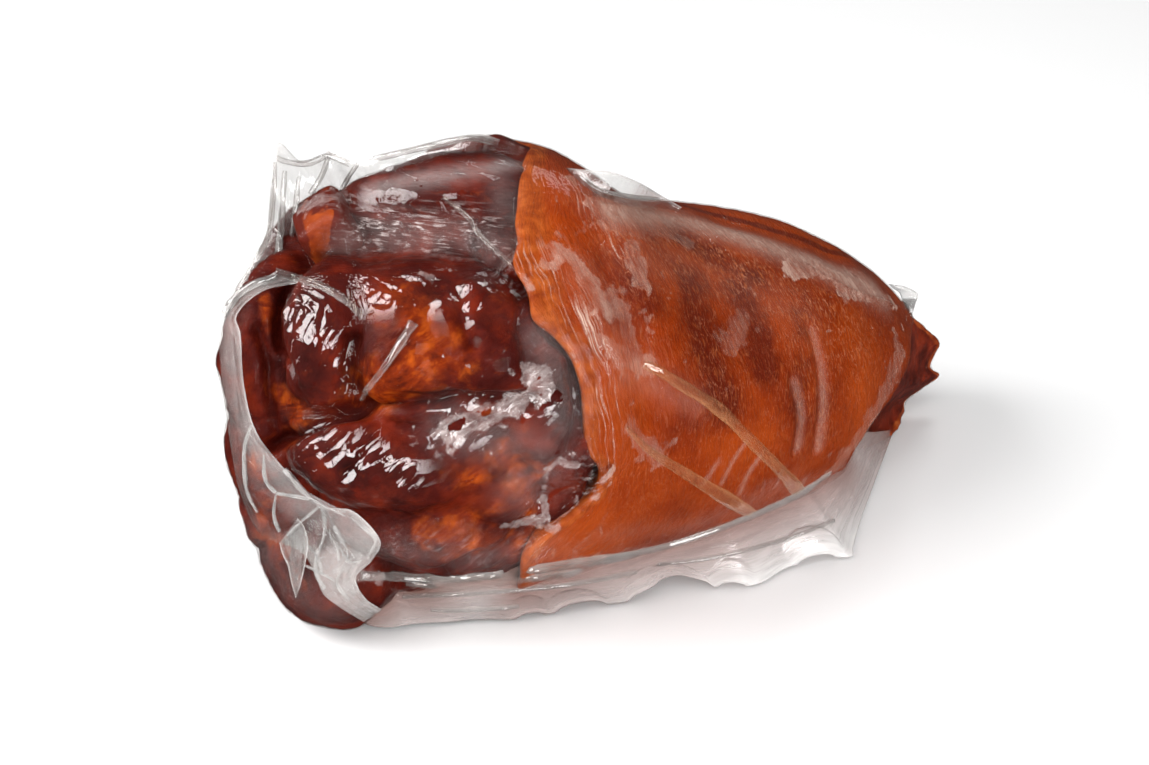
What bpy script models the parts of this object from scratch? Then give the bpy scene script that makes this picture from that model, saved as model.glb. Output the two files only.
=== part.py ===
"""A smoked ham shank, shrink-wrapped in a clear bag, as one closed solid.

The shank lies on its side.  +X runs from the cut meat to the narrow end of the
leg, -Y faces the side that shows and +Z is up.  Shapes are worked out in
millimetres with the cut edge of the skin standing 26 mm behind the origin, and
the finished solid is moved so that the middle of its base is the origin.
"""

import math

import bmesh
import bpy
import numpy as np
from mathutils import Matrix, Vector
from mathutils.bvhtree import BVHTree

MM = 0.001
OBJECT = "vacuum_packed_ham_shank"
NODE = "sealed_pack"

# Driving sizes, in millimetres
BASE_MIDDLE = (14.9, -0.6, 0.0)
RIM_X = -26.0
FLAT_DEPTH = 2.5
FILM = 1.7
VOXEL = 1.7
TARGET_TRIANGLES = 9400

# Skin sleeve, from the cut rim to the narrow end: place along the leg,
# half width, half height and how far the section leans to the front
SHANK = [
    (-26.0, 60.5, 61.5, 0.0),
    (-14.0, 60.0, 61.5, 0.0),
    (0.0, 57.5, 58.5, 1.5),
    (12.0, 54.5, 52.5, 3.0),
    (24.0, 51.5, 48.5, 4.0),
    (40.0, 48.0, 46.5, 4.5),
    (56.0, 44.0, 43.6, 4.0),
    (72.0, 39.0, 40.0, 3.0),
    (88.0, 33.0, 34.6, 1.5),
    (101.0, 27.0, 29.0, -0.5),
    (111.0, 22.0, 23.6, -2.0),
    (116.0, 19.0, 20.0, -2.5),
]
RING_POINTS = 72

# The rim of the skin wanders along the leg: angle round the leg from the
# front towards the top, in degrees, and the step along the leg
RIM_WANDER = [
    (-180, 0), (-130, 4), (-90, -2), (-75, -10), (-60, -13), (-40, -17), (-25, -21), (-20, -19), (-15, -12),
    (-10, -4), (-5, -1), (0, -1), (5, -6), (10, -5), (20, -4), (30, -5), (35, -8), (40, -13),
    (45, -11), (50, -11), (55, -13), (60, -7), (65, -6), (70, -3), (78, 2), (84, 6), (90, 11),
    (100, 18), (115, 15), (135, 7), (180, 0),
]

# The narrow end is cut on a slant, lower in front, in the same way
END_WANDER = [
    (-180, 0), (-120, -6), (-90, -14), (-75, -22), (-60, -34), (-45, -45), (-30, -48), (-20, -47),
    (-8, -42), (0, -34), (10, -26), (20, -19), (33, -15), (50, -8), (77, 1), (103, 4), (180, 0),
]

# Muscles of the cut end: centre, half sizes along, across and outwards,
# the way the muscle runs and the way it faces
MUSCLES = [
    ("core", (-32, 0, 59), (56, 53, 54), (1, 0, 0), (0, 0, 1)),
    ("top", (-38, 2, 103), (33, 18, 19), (0.85, -0.45, 0.12), (-0.2, 0.1, 0.95)),
    ("summit", (-22, 12, 101.5), (22, 17, 18), (0.9, -0.3, -0.05), (0.1, 0.1, 1.0)),
    ("upper", (-54, -17, 90), (34, 16, 17), (0.82, -0.55, 0.05), (-0.4, -0.4, 0.8)),
    ("round", (-73, -8, 84), (22, 15, 17), (-0.2, -0.25, -0.95), (-0.8, -0.3, 0.5)),
    ("slim", (-78, 10, 70), (30, 13, 22), (-0.15, -0.3, -0.95), (-0.9, 0.1, 0.3)),
    ("orange", (-58, -25, 81), (22, 17, 17), (0.4, -0.2, -0.9), (-0.5, -0.6, 0.6)),
    ("lens", (-63, -32, 75), (15, 6, 10), (0.75, -0.5, 0.1), (-0.6, -0.7, 0.4)),
    ("by_rim", (-42, -32, 80), (27, 20, 21), (0.5, -0.1, -0.85), (-0.2, -0.9, 0.4)),
    ("shoulder", (-69, -24, 58), (27, 16, 19), (0.7, -0.6, -0.15), (-0.75, -0.65, 0.1)),
    ("belly", (-58, -26, 41), (31, 19, 21), (0.75, -0.62, -0.2), (-0.5, -0.8, -0.3)),
    ("seam", (-43, -31, 52), (22, 21, 23), (0.3, -0.1, -0.95), (-0.3, -0.95, 0.0)),
    ("oval", (-33, -47, 50), (14, 9, 10), (0.35, -0.2, 0.9), (-0.1, -1.0, 0.0)),
    ("left", (-79, 5, 48), (27, 18, 22), (-0.1, -0.2, -0.95), (-0.95, 0.0, 0.0)),
    ("heel", (-77, -4, 20), (26, 19, 20.5), (0.3, 0.93, 0.1), (-0.8, -0.4, -0.5)),
    ("heel_inner", (-56, -8, 24), (24, 18, 22), (0.9, -0.3, 0.0), (-0.5, -0.8, -0.3)),
    ("back_top", (-56, 26, 84), (27, 20, 22), (0.8, 0.5, -0.1), (-0.4, 0.6, 0.7)),
    ("back_mid", (-58, 30, 56), (27, 19, 20), (0.6, 0.7, 0.1), (-0.6, 0.75, 0.1)),
    ("back_low", (-56, 26, 28), (30, 21, 24), (0.7, 0.7, 0.0), (-0.5, 0.7, -0.4)),
]
FAT_BLOCK = ((-64.0, 12.0, 101.0), (15.0, 17.0, 26.0), (12.0, -30.0, -24.0))

# Far lip of the narrow end, from its top to its foot: its place, and the angles
# round the leg of the roots that it runs back to on the near and on the far side
END_LIP = [
    ((116.0, -2.0, 37.0), 78, 84),
    ((120.5, -1.0, 33.0), 60, 100),
    ((125.0, 0.0, 28.4), 45, 115),
    ((130.0, 0.0, 22.6), 33, 135),
    ((127.8, 0.0, 17.8), 22, 155),
    ((127.4, 0.0, 14.4), 12, 170),
    ((131.6, 0.0, 10.6), 3, 185),
    ((125.0, 0.0, 8.0), -5, 200),
    ((118.3, 0.0, 5.2), -14, 215),
    ((117.0, -1.5, 3.0), -22, 230),
    ((113.6, -4.5, 2.2), -30, 245),
    ((108.6, -9.0, 2.0), -38, 258),
    ((100.0, -11.5, 1.6), -48, 272),
    ((93.5, -12.0, 1.6), -60, 285),
]
LIP_THICKNESS = 2.6
RECESS_DEPTH = 5.0
NEAR_ROOT = (-7.0, 6.0)
FAR_ROOT = (102.0, 5.0)
END_CORE = (88.0, -3.0, 19.0)

# The show side is laid out on an upright plane square to the line of sight:
# places on it are millimetres across and up from the middle of the pack
LOOK_AT = Vector((0.0, 0.0, 46.0))
SIGHT_TURN = math.radians(-30)
SIGHT_RISE = math.radians(30)
SIGHT_DISTANCE = 670.0

# Relief of the show side: what it is, its depth (minus) or height (plus),
# its half width, and the points along it on the show plane
SHOW_RELIEF = [
    ("valley under the top muscle", -3.5, 4.5, [(-66, 43), (-56, 41), (-43, 40), (-32, 41), (-18, 35)]),
    ("groove in the top muscle", -1.5, 2.0, [(-65, 52), (-59, 50), (-50, 48), (-40, 47)]),
    ("fold behind the valley", -2.0, 2.0, [(-34, 50), (-29, 47), (-26, 41), (-24, 36), (-19, 34)]),
    ("middle seam", -4.0, 2.6, [(-85, -18), (-77, -13), (-67, -9), (-49, -6), (-12, -5)]),
    ("film edge on the fat", 1.4, 1.4, [(-59, -5), (-52, 6), (-46, 17)]),
    ("film from the knot", 1.8, 1.6, [(-82, 31), (-71, 27), (-64, 23), (-59, 18)]),
    ("left of the round muscle", -3.0, 2.2, [(-80, 26), (-82, 18), (-82, 9), (-79, 2)]),
    ("slim muscle seam", -2.2, 1.8, [(-89, 15), (-86, 6), (-85, -5), (-84, -13)]),
    ("left of the fat", -3.0, 2.2, [(-62, 12), (-63, 4), (-60, -5)]),
    ("right of the fat", -2.0, 2.4, [(-33, 27), (-32, 18), (-29, 11)]),
    ("seam by the rim", -2.2, 2.0, [(-15, 26), (-14, 15), (-13, 6)]),
    ("shadow under the rim", -3.0, 2.4, [(-8, 15), (-1, 7), (1, -2), (2, -11), (0, -18)]),
    ("left of the oval", -2.0, 1.8, [(-5, -22), (-8, -27), (-10, -34)]),
    ("right of the oval", -2.4, 2.0, [(3, -23), (8, -25), (7, -31), (2, -36), (-1, -41)]),
    ("folds of the shoulder", -2.0, 2.0, [(-64, -26), (-60, -20), (-55, -16)]),
    ("seam above the roll", -1.8, 2.4, [(-38, -54), (-29, -50), (-19, -46), (-15, -39)]),
    ("upper film crease", 1.7, 1.7, [(18, 6), (24, 3), (32, -2), (41, -8), (49, -16), (58, -25), (64, -32)]),
    ("lower film crease", 1.7, 2.0, [(14, -12), (21, -19), (32, -26), (45, -34), (56, -41)]),
    ("front pocket", -1.2, 2.0, [(66, 15), (69, 4), (69, -9), (68, -19)]),
    ("back pocket", -1.0, 1.8, [(61, 1), (63, -9), (62, -19)]),
    ("stretched film on the shank", 0.9, 1.2, [(65, 32), (76, 26), (87, 22), (95, 18)]),
    ("upper streak", 1.4, 1.6, [(1, 54), (4, 46), (8, 39)]),
    ("long streak", 1.0, 1.8, [(-4, 36), (4, 23), (11, 9), (16, 1)]),
    ("hollow behind the rim", -1.8, 6.0, [(9, 37), (14, 22), (20, 8), (22, -8)]),
    ("mouth welt", 2.6, 3.4, [(-80, 33), (-91, 26), (-97, 20), (-96, 11), (-93, -1)]),
    ("lower mouth welt", 2.4, 4.5, [(-89, -10), (-82, -20), (-75, -32), (-67, -40)]),
]

# Relief that the show side hides: depth or height, half width, and points
# given as the place along the leg and the angle round it from the front
HIDDEN_RELIEF = [
    ("back seam", -3.5, 3.0, [(-88, 170), (-70, 150), (-50, 142), (-34, 140)]),
    ("lower back seam", -3.5, 3.0, [(-86, 200), (-68, 205), (-48, 200), (-32, 196)]),
    ("back film crease", 1.8, 1.8, [(-20, 150), (8, 160), (36, 168), (62, 178)]),
    ("second back crease", 1.6, 1.8, [(0, 196), (26, 190), (52, 200), (80, 205)]),
    ("short back crease", 1.5, 1.6, [(40, 140), (60, 148), (84, 150)]),
    ("back pocket", -1.4, 3.0, [(66, 165), (70, 180), (70, 196)]),
]

# Films that stand clear of the ham.  Each column runs from a place on the ham
# to a place on the film's free edge, both on the show plane
FRONT_FLANGE = [
    ((-62, -53), (-61, -66)), ((-56, -54), (-55, -69)), ((-41, -54), (-42, -68)),
    ((-28, -52), (-27, -67)), ((-14, -51), (-12, -66)), ((-4, -49), (7, -63)),
    ((8, -46), (20, -61)), ((22, -43), (26, -58)), ((34, -39), (36, -57.5)),
    ((46, -35), (50, -57)), ((56, -31), (61, -52)), ((61, -29), (74, -49.6)),
    ((63, -28), (77.5, -49)), ((65, -27), (78, -46.5)), ((70, -24), (80, -39)),
    ((74, -20), (84, -28)), ((78, -12.5), (89.5, -13)),
]
MOUTH_WEB = [
    ((-87, 20), (-95, 26)), ((-82, 28), (-90, 34)), ((-80, 36), (-86, 41)),
    ((-77, 43), (-84.5, 51)), ((-74, 48), (-84, 62)), ((-72, 50), (-82.5, 67)),
    ((-70, 52), (-77, 62)), ((-67, 54), (-72, 62)), ((-62, 54), (-68, 65)),
    ((-58, 55), (-62, 61.5)), ((-52, 56), (-57, 62.5)), ((-45, 58), (-49, 65)),
    ((-37, 60), (-38, 67)), ((-29, 62), (-27, 69.5)), ((-22, 64), (-21, 68)),
]
BACK_WEB = [
    ((-4, 60), (-2, 60)), ((1, 53), (3, 59.5)), ((7, 49), (10, 59)),
    ((14, 48), (18, 56)), ((21, 48), (24, 52.5)), ((28, 47), (30, 49)),
]
MOUTH_TAB = [
    ((-73, -40), (-65, -36)), ((-71, -45), (-55, -44)), ((-69, -50), (-57, -50)),
    ((-68, -56), (-61, -57)),
]
SINK = 8.0
WEB_SET_BACK = 4.0
TAB_LIFT = 5.0

SKIN_COLOUR = (0.36, 0.10, 0.025, 1.0)


def clear_scene():
    for thing in list(bpy.data.objects):
        bpy.data.objects.remove(thing, do_unlink=True)


def new_collection(name):
    group = bpy.data.collections.new(name)
    bpy.context.scene.collection.children.link(group)
    return group


def link_mesh(name, mesh, group):
    thing = bpy.data.objects.new(name, mesh)
    group.objects.link(thing)
    return thing


def bake(thing, group):
    """Replace an object by the mesh that its modifiers make."""
    bpy.context.view_layer.update()
    graph = bpy.context.evaluated_depsgraph_get()
    mesh = bpy.data.meshes.new_from_object(thing.evaluated_get(graph))
    mesh.transform(thing.matrix_world)
    name = thing.name
    bpy.data.objects.remove(thing, do_unlink=True)
    return link_mesh(name, mesh, group)


def pointing(along, out):
    """A rotation whose X runs along a muscle and whose Z faces outwards."""
    x_axis = Vector(along).normalized()
    y_axis = Vector(out).cross(x_axis).normalized()
    z_axis = x_axis.cross(y_axis)
    return Matrix((x_axis, y_axis, z_axis)).transposed().to_4x4()


def ellipsoid(name, centre, half_sizes, along, out, group):
    mesh = bpy.data.meshes.new(name)
    shape = bmesh.new()
    bmesh.ops.create_uvsphere(shape, u_segments=40, v_segments=24, radius=1.0)
    bmesh.ops.scale(shape, vec=Vector(half_sizes), verts=shape.verts)
    bmesh.ops.transform(shape, matrix=pointing(along, out), verts=shape.verts)
    bmesh.ops.translate(shape, vec=Vector(centre), verts=shape.verts)
    shape.to_mesh(mesh)
    shape.free()
    return link_mesh(name, mesh, group)


def shank_section(x):
    """Half width, half height and lean of the skin at a place along the leg."""
    places = [row[0] for row in SHANK]
    return [float(np.interp(x, places, [row[k] for row in SHANK])) for k in (1, 2, 3)]


def skin_point(x, degrees, shrink):
    """A point of the skin's surface, or so far inside it."""
    angle = math.radians(degrees)
    wide, high, lean = shank_section(x)
    return (
        x,
        -(wide - shrink) * math.cos(angle) - lean,
        high - FLAT_DEPTH + (high - shrink) * math.sin(angle),
    )


def skin_ring(x_at, shrink):
    """One closed ring of the sleeve; x_at gives its place for each angle."""
    turns = [360 * step / RING_POINTS for step in range(RING_POINTS)]
    turns = [turn - 360 if turn > 180 else turn for turn in turns]
    return [skin_point(x_at(turn), turn, shrink) for turn in turns]


def rim_place(degrees):
    return RIM_X + float(np.interp(degrees, *zip(*RIM_WANDER)))


def end_place(degrees):
    return SHANK[-1][0] + float(np.interp(degrees, *zip(*END_WANDER)))


def loft(name, rings, levels, group):
    """A closed rounded solid through unlike rings."""
    mesh = bpy.data.meshes.new(name)
    shape = bmesh.new()
    loops = [[shape.verts.new(p) for p in ring] for ring in rings]
    size = len(rings[0])
    for near, far in zip(loops, loops[1:]):
        for k in range(size):
            after = (k + 1) % size
            shape.faces.new((near[k], near[after], far[after], far[k]))
    for loop in (loops[0], loops[-1]):
        hub = sum((v.co for v in loop), Vector()) / size
        centre = shape.verts.new(hub)
        for k in range(size):
            shape.faces.new((loop[k], loop[(k + 1) % size], centre))
    bmesh.ops.recalc_face_normals(shape, faces=shape.faces)
    shape.to_mesh(mesh)
    shape.free()
    body = link_mesh(name, mesh, group)
    smooth = body.modifiers.new("round", "SUBSURF")
    smooth.levels = levels
    smooth.render_levels = levels
    return bake(body, group)


def skin_sleeve(group):
    """A loft of unlike rings, closed inside the meat and at the narrow end."""
    rings = [
        skin_ring(lambda a: rim_place(a) + 10.0, 14.0),
        skin_ring(lambda a: rim_place(a) + 2.0, 6.0),
        skin_ring(lambda a: rim_place(a) - 0.4, 3.5),
        skin_ring(lambda a: rim_place(a) + 0.4, 0.8),
    ]
    steps = 15
    for step in range(steps + 1):
        share = 0.015 + 0.985 * step / steps
        rings.append(skin_ring(
            lambda a, s=share: rim_place(a) * (1 - s) + end_place(a) * s, 0.0))
    rings.append(skin_ring(lambda a: end_place(a) + 0.8, 1.6))
    rings.append(skin_ring(lambda a: end_place(a) - 1.5, 4.0))
    return loft("skin", rings, 2, group)


def fat_block(group):
    """The squared knob of fat at the top left of the cut end."""
    centre, sizes, turn = FAT_BLOCK
    mesh = bpy.data.meshes.new("fat")
    shape = bmesh.new()
    bmesh.ops.create_cube(shape, size=1.0)
    bmesh.ops.scale(shape, vec=Vector(sizes), verts=shape.verts)
    shape.to_mesh(mesh)
    shape.free()
    block = link_mesh("fat", mesh, group)
    block.location = centre
    block.rotation_euler = [math.radians(a) for a in turn]
    edge = block.modifiers.new("edge", "BEVEL")
    edge.width = 4.0
    edge.segments = 4
    return bake(block, group)


def melt(pieces, name, group, voxel, passes):
    """Join overlapping pieces into one skin and soften its valleys."""
    mesh = bpy.data.meshes.new(name)
    shape = bmesh.new()
    for piece in pieces:
        shape.from_mesh(piece.data)
        bpy.data.objects.remove(piece, do_unlink=True)
    shape.to_mesh(mesh)
    shape.free()
    blob = link_mesh(name, mesh, group)
    remesh = blob.modifiers.new("skin over", "REMESH")
    remesh.mode = "VOXEL"
    remesh.voxel_size = voxel
    soften = blob.modifiers.new("soften", "SMOOTH")
    soften.factor = 0.5
    soften.iterations = passes
    return bake(blob, group)


class Sight:
    """The line of sight and the show plane that faces it."""

    def __init__(self):
        turn, rise = SIGHT_TURN, SIGHT_RISE
        self.across = Vector((math.cos(turn), math.sin(turn), 0.0))
        self.back = Vector((
            math.sin(turn) * math.cos(rise), -math.cos(turn) * math.cos(rise), math.sin(rise)))
        self.up = self.back.cross(self.across)
        self.eye = LOOK_AT + self.back * SIGHT_DISTANCE

    def ray(self, across, up):
        target = LOOK_AT + self.across * across + self.up * up
        return (target - self.eye).normalized()

    def at_depth(self, across, up, depth):
        """The point seen at a place on the show plane, so far in front of it."""
        way = self.ray(across, up)
        length = (SIGHT_DISTANCE - depth) / -way.dot(self.back)
        return self.eye + way * length

    def depth(self, point):
        return (point - LOOK_AT).dot(self.back)

    def on_table(self, across, up, height):
        way = self.ray(across, up)
        return self.eye + way * ((height - self.eye.z) / way.z)


def smooth_path(points, steps):
    """A rounded path of evenly spread points through the given ones."""
    points = np.array([tuple(p) for p in points], float)
    if len(points) == 2:
        share = np.linspace(0, 1, steps)[:, None]
        return points[0] * (1 - share) + points[1] * share
    padded = np.vstack([2 * points[0] - points[1], points, 2 * points[-1] - points[-2]])
    path = []
    for step in range(steps):
        place = step / (steps - 1) * (len(points) - 1)
        k = min(int(place), len(points) - 2)
        t = place - k
        a, b, c, d = padded[k:k + 4]
        path.append(0.5 * (2 * b + (c - a) * t + (2 * a - 5 * b + 4 * c - d) * t ** 2
                           + (3 * b - a - 3 * c + d) * t ** 3))
    return np.array(path)


def distance_to_path(points, path):
    """How far each point lies from a path of short straight pieces."""
    nearest = np.full(len(points), 1e9)
    for start, end in zip(path, path[1:]):
        run = end - start
        share = np.clip((points - start) @ run / max(run @ run, 1e-9), 0, 1)
        gap = np.linalg.norm(points - start - share[:, None] * run, axis=1)
        nearest = np.minimum(nearest, gap)
    return nearest


def end_flap(name, slices, levels, group):
    """The slanted cut of the narrow end: a hollow before a raised far lip."""
    places = range(len(END_LIP))
    spread = np.linspace(0, len(END_LIP) - 1, slices)
    near = np.interp(spread, places, [row[1] for row in END_LIP])
    far = np.interp(spread, places, [row[2] for row in END_LIP])
    away = -Sight().back
    core = Vector(END_CORE)
    rings = []
    for lip, near_turn, far_turn in zip(smooth_path([row[0] for row in END_LIP], slices), near, far):
        lip = Vector(lip)
        root = Vector(skin_point(end_place(near_turn) + NEAR_ROOT[0], near_turn, NEAR_ROOT[1]))
        back = Vector(skin_point(FAR_ROOT[0], far_turn, FAR_ROOT[1]))
        thick = away * LIP_THICKNESS
        rings.append([
            core, root, root.lerp(lip, 0.5) + away * RECESS_DEPTH,
            root.lerp(lip, 0.85) + away * RECESS_DEPTH * 0.6, lip, lip + thick * 0.3, lip + thick,
            back.lerp(lip, 0.6) + thick * 0.8, back,
        ])
    return loft(name, rings, levels, group)


def mesh_arrays(mesh):
    points = np.zeros(len(mesh.vertices) * 3)
    mesh.vertices.foreach_get("co", points)
    normals = np.zeros(len(mesh.vertices) * 3)
    mesh.vertices.foreach_get("normal", normals)
    return points.reshape(-1, 3), normals.reshape(-1, 3)


def set_points(mesh, points):
    mesh.vertices.foreach_set("co", points.reshape(-1))
    mesh.update()


def tree_of(thing):
    shape = bmesh.new()
    shape.from_mesh(thing.data)
    tree = BVHTree.FromBMesh(shape)
    shape.free()
    return tree


def show_path(tree, sight, places):
    """Drop places of the show plane on the ham, along the line of sight."""
    path = []
    for across, up in smooth_path([(a, u, 0) for a, u in places], 4 * len(places))[:, :2]:
        hit = tree.ray_cast(sight.eye, sight.ray(across, up))[0]
        if hit is not None:
            path.append(np.array(hit))
    return path


def hidden_path(tree, places):
    """Drop places given along and round the leg on the ham, from outside."""
    path = []
    for x, degrees in smooth_path([(x, a, 0) for x, a in places], 4 * len(places))[:, :2]:
        angle = math.radians(degrees)
        out = Vector((0.0, -math.cos(angle), math.sin(angle)))
        middle = Vector((x, 0.0, shank_section(x)[1] * 0.9))
        hit = tree.ray_cast(middle + out * 200, -out)[0]
        if hit is not None:
            path.append(np.array(hit))
    return path


def carve(ham, sight):
    """Press the seams in and raise the film's creases."""
    tree = tree_of(ham)
    points, normals = mesh_arrays(ham.data)
    moved = np.zeros(len(points))
    for _, height, width, places in SHOW_RELIEF:
        path = show_path(tree, sight, places)
        moved += height * np.exp(-(distance_to_path(points, path) / width) ** 2)
    for _, height, width, places in HIDDEN_RELIEF:
        path = hidden_path(tree, places)
        moved += height * np.exp(-(distance_to_path(points, path) / width) ** 2)
    set_points(ham.data, points + normals * moved[:, None])


def settle(ham):
    """Flatten what would lie below the table."""
    points, _ = mesh_arrays(ham.data)
    points[:, 2] = np.maximum(points[:, 2], 0.0)
    set_points(ham.data, points)


def film(name, rows, group, thickness):
    """A standing film: a grid of points made a thin closed plate."""
    mesh = bpy.data.meshes.new(name)
    shape = bmesh.new()
    grid = [[shape.verts.new(p) for p in row] for row in rows]
    for near, far in zip(grid, grid[1:]):
        for k in range(len(near) - 1):
            shape.faces.new((near[k], near[k + 1], far[k + 1], far[k]))
    bmesh.ops.recalc_face_normals(shape, faces=shape.faces)
    shape.to_mesh(mesh)
    shape.free()
    sheet = link_mesh(name, mesh, group)
    plate = sheet.modifiers.new("thickness", "SOLIDIFY")
    plate.thickness = thickness
    plate.offset = 0.0
    plate.use_even_offset = True
    return bake(sheet, group)


def film_columns(columns, count):
    """Even columns between the given ones, as root and edge places."""
    roots = smooth_path([(r[0], r[1], 0) for r, _ in columns], count)[:, :2]
    edges = smooth_path([(e[0], e[1], 0) for _, e in columns], count)[:, :2]
    return roots, edges


def root_depths(tree, sight, roots):
    """Depth of the ham along the roots; misses take their neighbour's."""
    depths = []
    for across, up in roots:
        hit = tree.ray_cast(sight.eye, sight.ray(across, up))[0]
        depths.append(sight.depth(hit) if hit is not None else None)
    known = [k for k, d in enumerate(depths) if d is not None]
    depths = np.interp(range(len(depths)), known, [depths[k] for k in known])
    padded = np.pad(depths, 2, mode="edge")
    return np.convolve(padded, np.ones(5) / 5, mode="valid")


def front_flange(tree, sight, group):
    """The two joined films that lie on the table along the front."""
    roots, edges = film_columns(FRONT_FLANGE, 40)
    depths = root_depths(tree, sight, roots)
    rest = FILM / 2
    inner, middle, outer = [], [], []
    for k, ((ra, ru), (ea, eu)) in enumerate(zip(roots, edges)):
        root = sight.at_depth(ra, ru, depths[k] - SINK)
        edge = sight.on_table(ea, eu, rest)
        wave = 1.0 + math.sin(k * 0.9)
        inner.append(Vector((root.x, root.y, max(root.z, rest))))
        half = root.lerp(edge, 0.55)
        middle.append(Vector((half.x, half.y, max(rest, half.z * 0.6 + wave * 0.6))))
        outer.append(edge)
    return film("front_flange", [inner, middle, outer], group, FILM)


def standing_web(name, columns, count, tree, sight, group, lift):
    """A film stretched from the ham to a free edge, seen edge to edge."""
    roots, edges = film_columns(columns, count)
    depths = root_depths(tree, sight, roots)
    inner = [sight.at_depth(a, u, d - SINK) for (a, u), d in zip(roots, depths)]
    outer = [sight.at_depth(a, u, d + lift) for (a, u), d in zip(edges, depths)]
    return film(name, [inner, outer], group, FILM)


def thin_out(ham, triangles):
    count = sum(len(face.vertices) - 2 for face in ham.data.polygons)
    fewer = ham.modifiers.new("fewer", "DECIMATE")
    fewer.ratio = triangles / count
    fewer.use_collapse_triangulate = True


def join(ham, pieces, group):
    """One union of the ham and its standing films."""
    tools = new_collection("films")
    for piece in pieces:
        group.objects.unlink(piece)
        tools.objects.link(piece)
        piece.hide_render = True
        piece.display_type = "WIRE"
    union = ham.modifiers.new("films", "BOOLEAN")
    union.operation = "UNION"
    union.operand_type = "COLLECTION"
    union.collection = tools
    union.solver = "EXACT"
    joined = bake(ham, group)
    for piece in list(tools.objects):
        bpy.data.objects.remove(piece, do_unlink=True)
    bpy.data.collections.remove(tools)
    return joined


def smoked_skin():
    material = bpy.data.materials.new("smoked_skin")
    material.use_nodes = True
    shader = material.node_tree.nodes["Principled BSDF"]
    shader.inputs["Base Color"].default_value = SKIN_COLOUR
    shader.inputs["Roughness"].default_value = 0.3
    shader.inputs["Metallic"].default_value = 0.0
    return material


def place(ham):
    """Scale to metres, with the middle of the base at the origin."""
    points, _ = mesh_arrays(ham.data)
    set_points(ham.data, (points - np.array(BASE_MIDDLE)) * MM)


def ham_form(group, voxel, passes):
    """Skin, muscles, fat and the cut narrow end as one soft skin, before any relief."""
    pieces = [skin_sleeve(group), fat_block(group), end_flap("flap", 60, 1, group)]
    for name, centre, half_sizes, along, out in MUSCLES:
        pieces.append(ellipsoid(name, centre, half_sizes, along, out, group))
    return melt(pieces, NODE, group, voxel, passes)


def build():
    clear_scene()
    group = new_collection(OBJECT)
    sight = Sight()
    ham = ham_form(group, VOXEL, 4)
    carve(ham, sight)
    settle(ham)
    tree = tree_of(ham)
    thin_out(ham, TARGET_TRIANGLES)
    ham = bake(ham, group)
    settle(ham)
    films = [
        front_flange(tree, sight, group),
        standing_web("mouth_web", MOUTH_WEB, 40, tree, sight, group, -WEB_SET_BACK),
        standing_web("back_web", BACK_WEB, 14, tree, sight, group, -WEB_SET_BACK),
        standing_web("mouth_tab", MOUTH_TAB, 8, tree, sight, group, TAB_LIFT),
    ]
    ham = join(ham, films, group)
    place(ham)
    ham.name = NODE
    ham.data.shade_smooth()
    ham.data.materials.clear()
    ham.data.materials.append(smoked_skin())


build()
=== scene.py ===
"""A smoked ham shank in a clear shrink bag: meat, skin, fat, sinew and films.

The layout is in millimetres, the same one that the solid is worked out in, and
every finished piece is moved to the frame's metres by to_frame().
"""

import math

import bmesh
import bpy
import numpy as np
from mathutils import Matrix, Vector, noise
from mathutils.bvhtree import BVHTree


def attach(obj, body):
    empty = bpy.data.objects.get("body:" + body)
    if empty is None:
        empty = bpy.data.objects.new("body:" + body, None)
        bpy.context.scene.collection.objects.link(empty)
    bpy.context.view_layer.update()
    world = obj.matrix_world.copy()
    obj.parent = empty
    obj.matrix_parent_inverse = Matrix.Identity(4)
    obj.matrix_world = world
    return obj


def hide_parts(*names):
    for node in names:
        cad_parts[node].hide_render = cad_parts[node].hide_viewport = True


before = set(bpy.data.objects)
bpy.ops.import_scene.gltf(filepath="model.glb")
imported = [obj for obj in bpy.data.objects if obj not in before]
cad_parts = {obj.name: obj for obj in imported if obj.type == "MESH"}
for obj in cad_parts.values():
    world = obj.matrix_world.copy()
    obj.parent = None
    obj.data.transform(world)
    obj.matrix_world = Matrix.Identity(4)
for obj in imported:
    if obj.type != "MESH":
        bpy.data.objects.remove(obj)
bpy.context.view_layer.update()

NODE = "sealed_pack"

# Layout, in millimetres
MM = 0.001
BASE_MIDDLE = (14.9, -0.6, 0.0)
RIM_X = -26.0
FLAT_DEPTH = 2.5
RING_POINTS = 90
MEAT_VOXEL = 0.9
SINEW_VOXEL = 0.6
FILM_VOXEL = 1.0
FILM_GAP = 0.4
SHEET_THICKNESS = 0.22
FLANGE_ROWS = 26
STRIP_ROWS = 26
ROLL_RIBS = 13
ROLL_BITE = 0.9
# How far from the ham the flange shows a painted pink shade and reflection of the ham
FLANGE_HAM_SHADE_REACH = 16.0

# Skin sleeve, from the cut rim to the narrow end: place along the leg,
# half width, half height and how far the section leans to the front
SHANK = [
    (-26.0, 60.5, 61.5, 0.0),
    (-14.0, 60.0, 61.5, 0.0),
    (0.0, 57.5, 58.5, 1.5),
    (12.0, 54.5, 52.5, 3.0),
    (24.0, 51.5, 48.5, 4.0),
    (40.0, 48.0, 46.5, 4.5),
    (56.0, 44.0, 43.6, 4.0),
    (72.0, 39.0, 40.0, 3.0),
    (88.0, 33.0, 34.6, 1.5),
    (101.0, 27.0, 29.0, -0.5),
    (111.0, 22.0, 23.6, -2.0),
    (116.0, 19.0, 20.0, -2.5),
]

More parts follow.
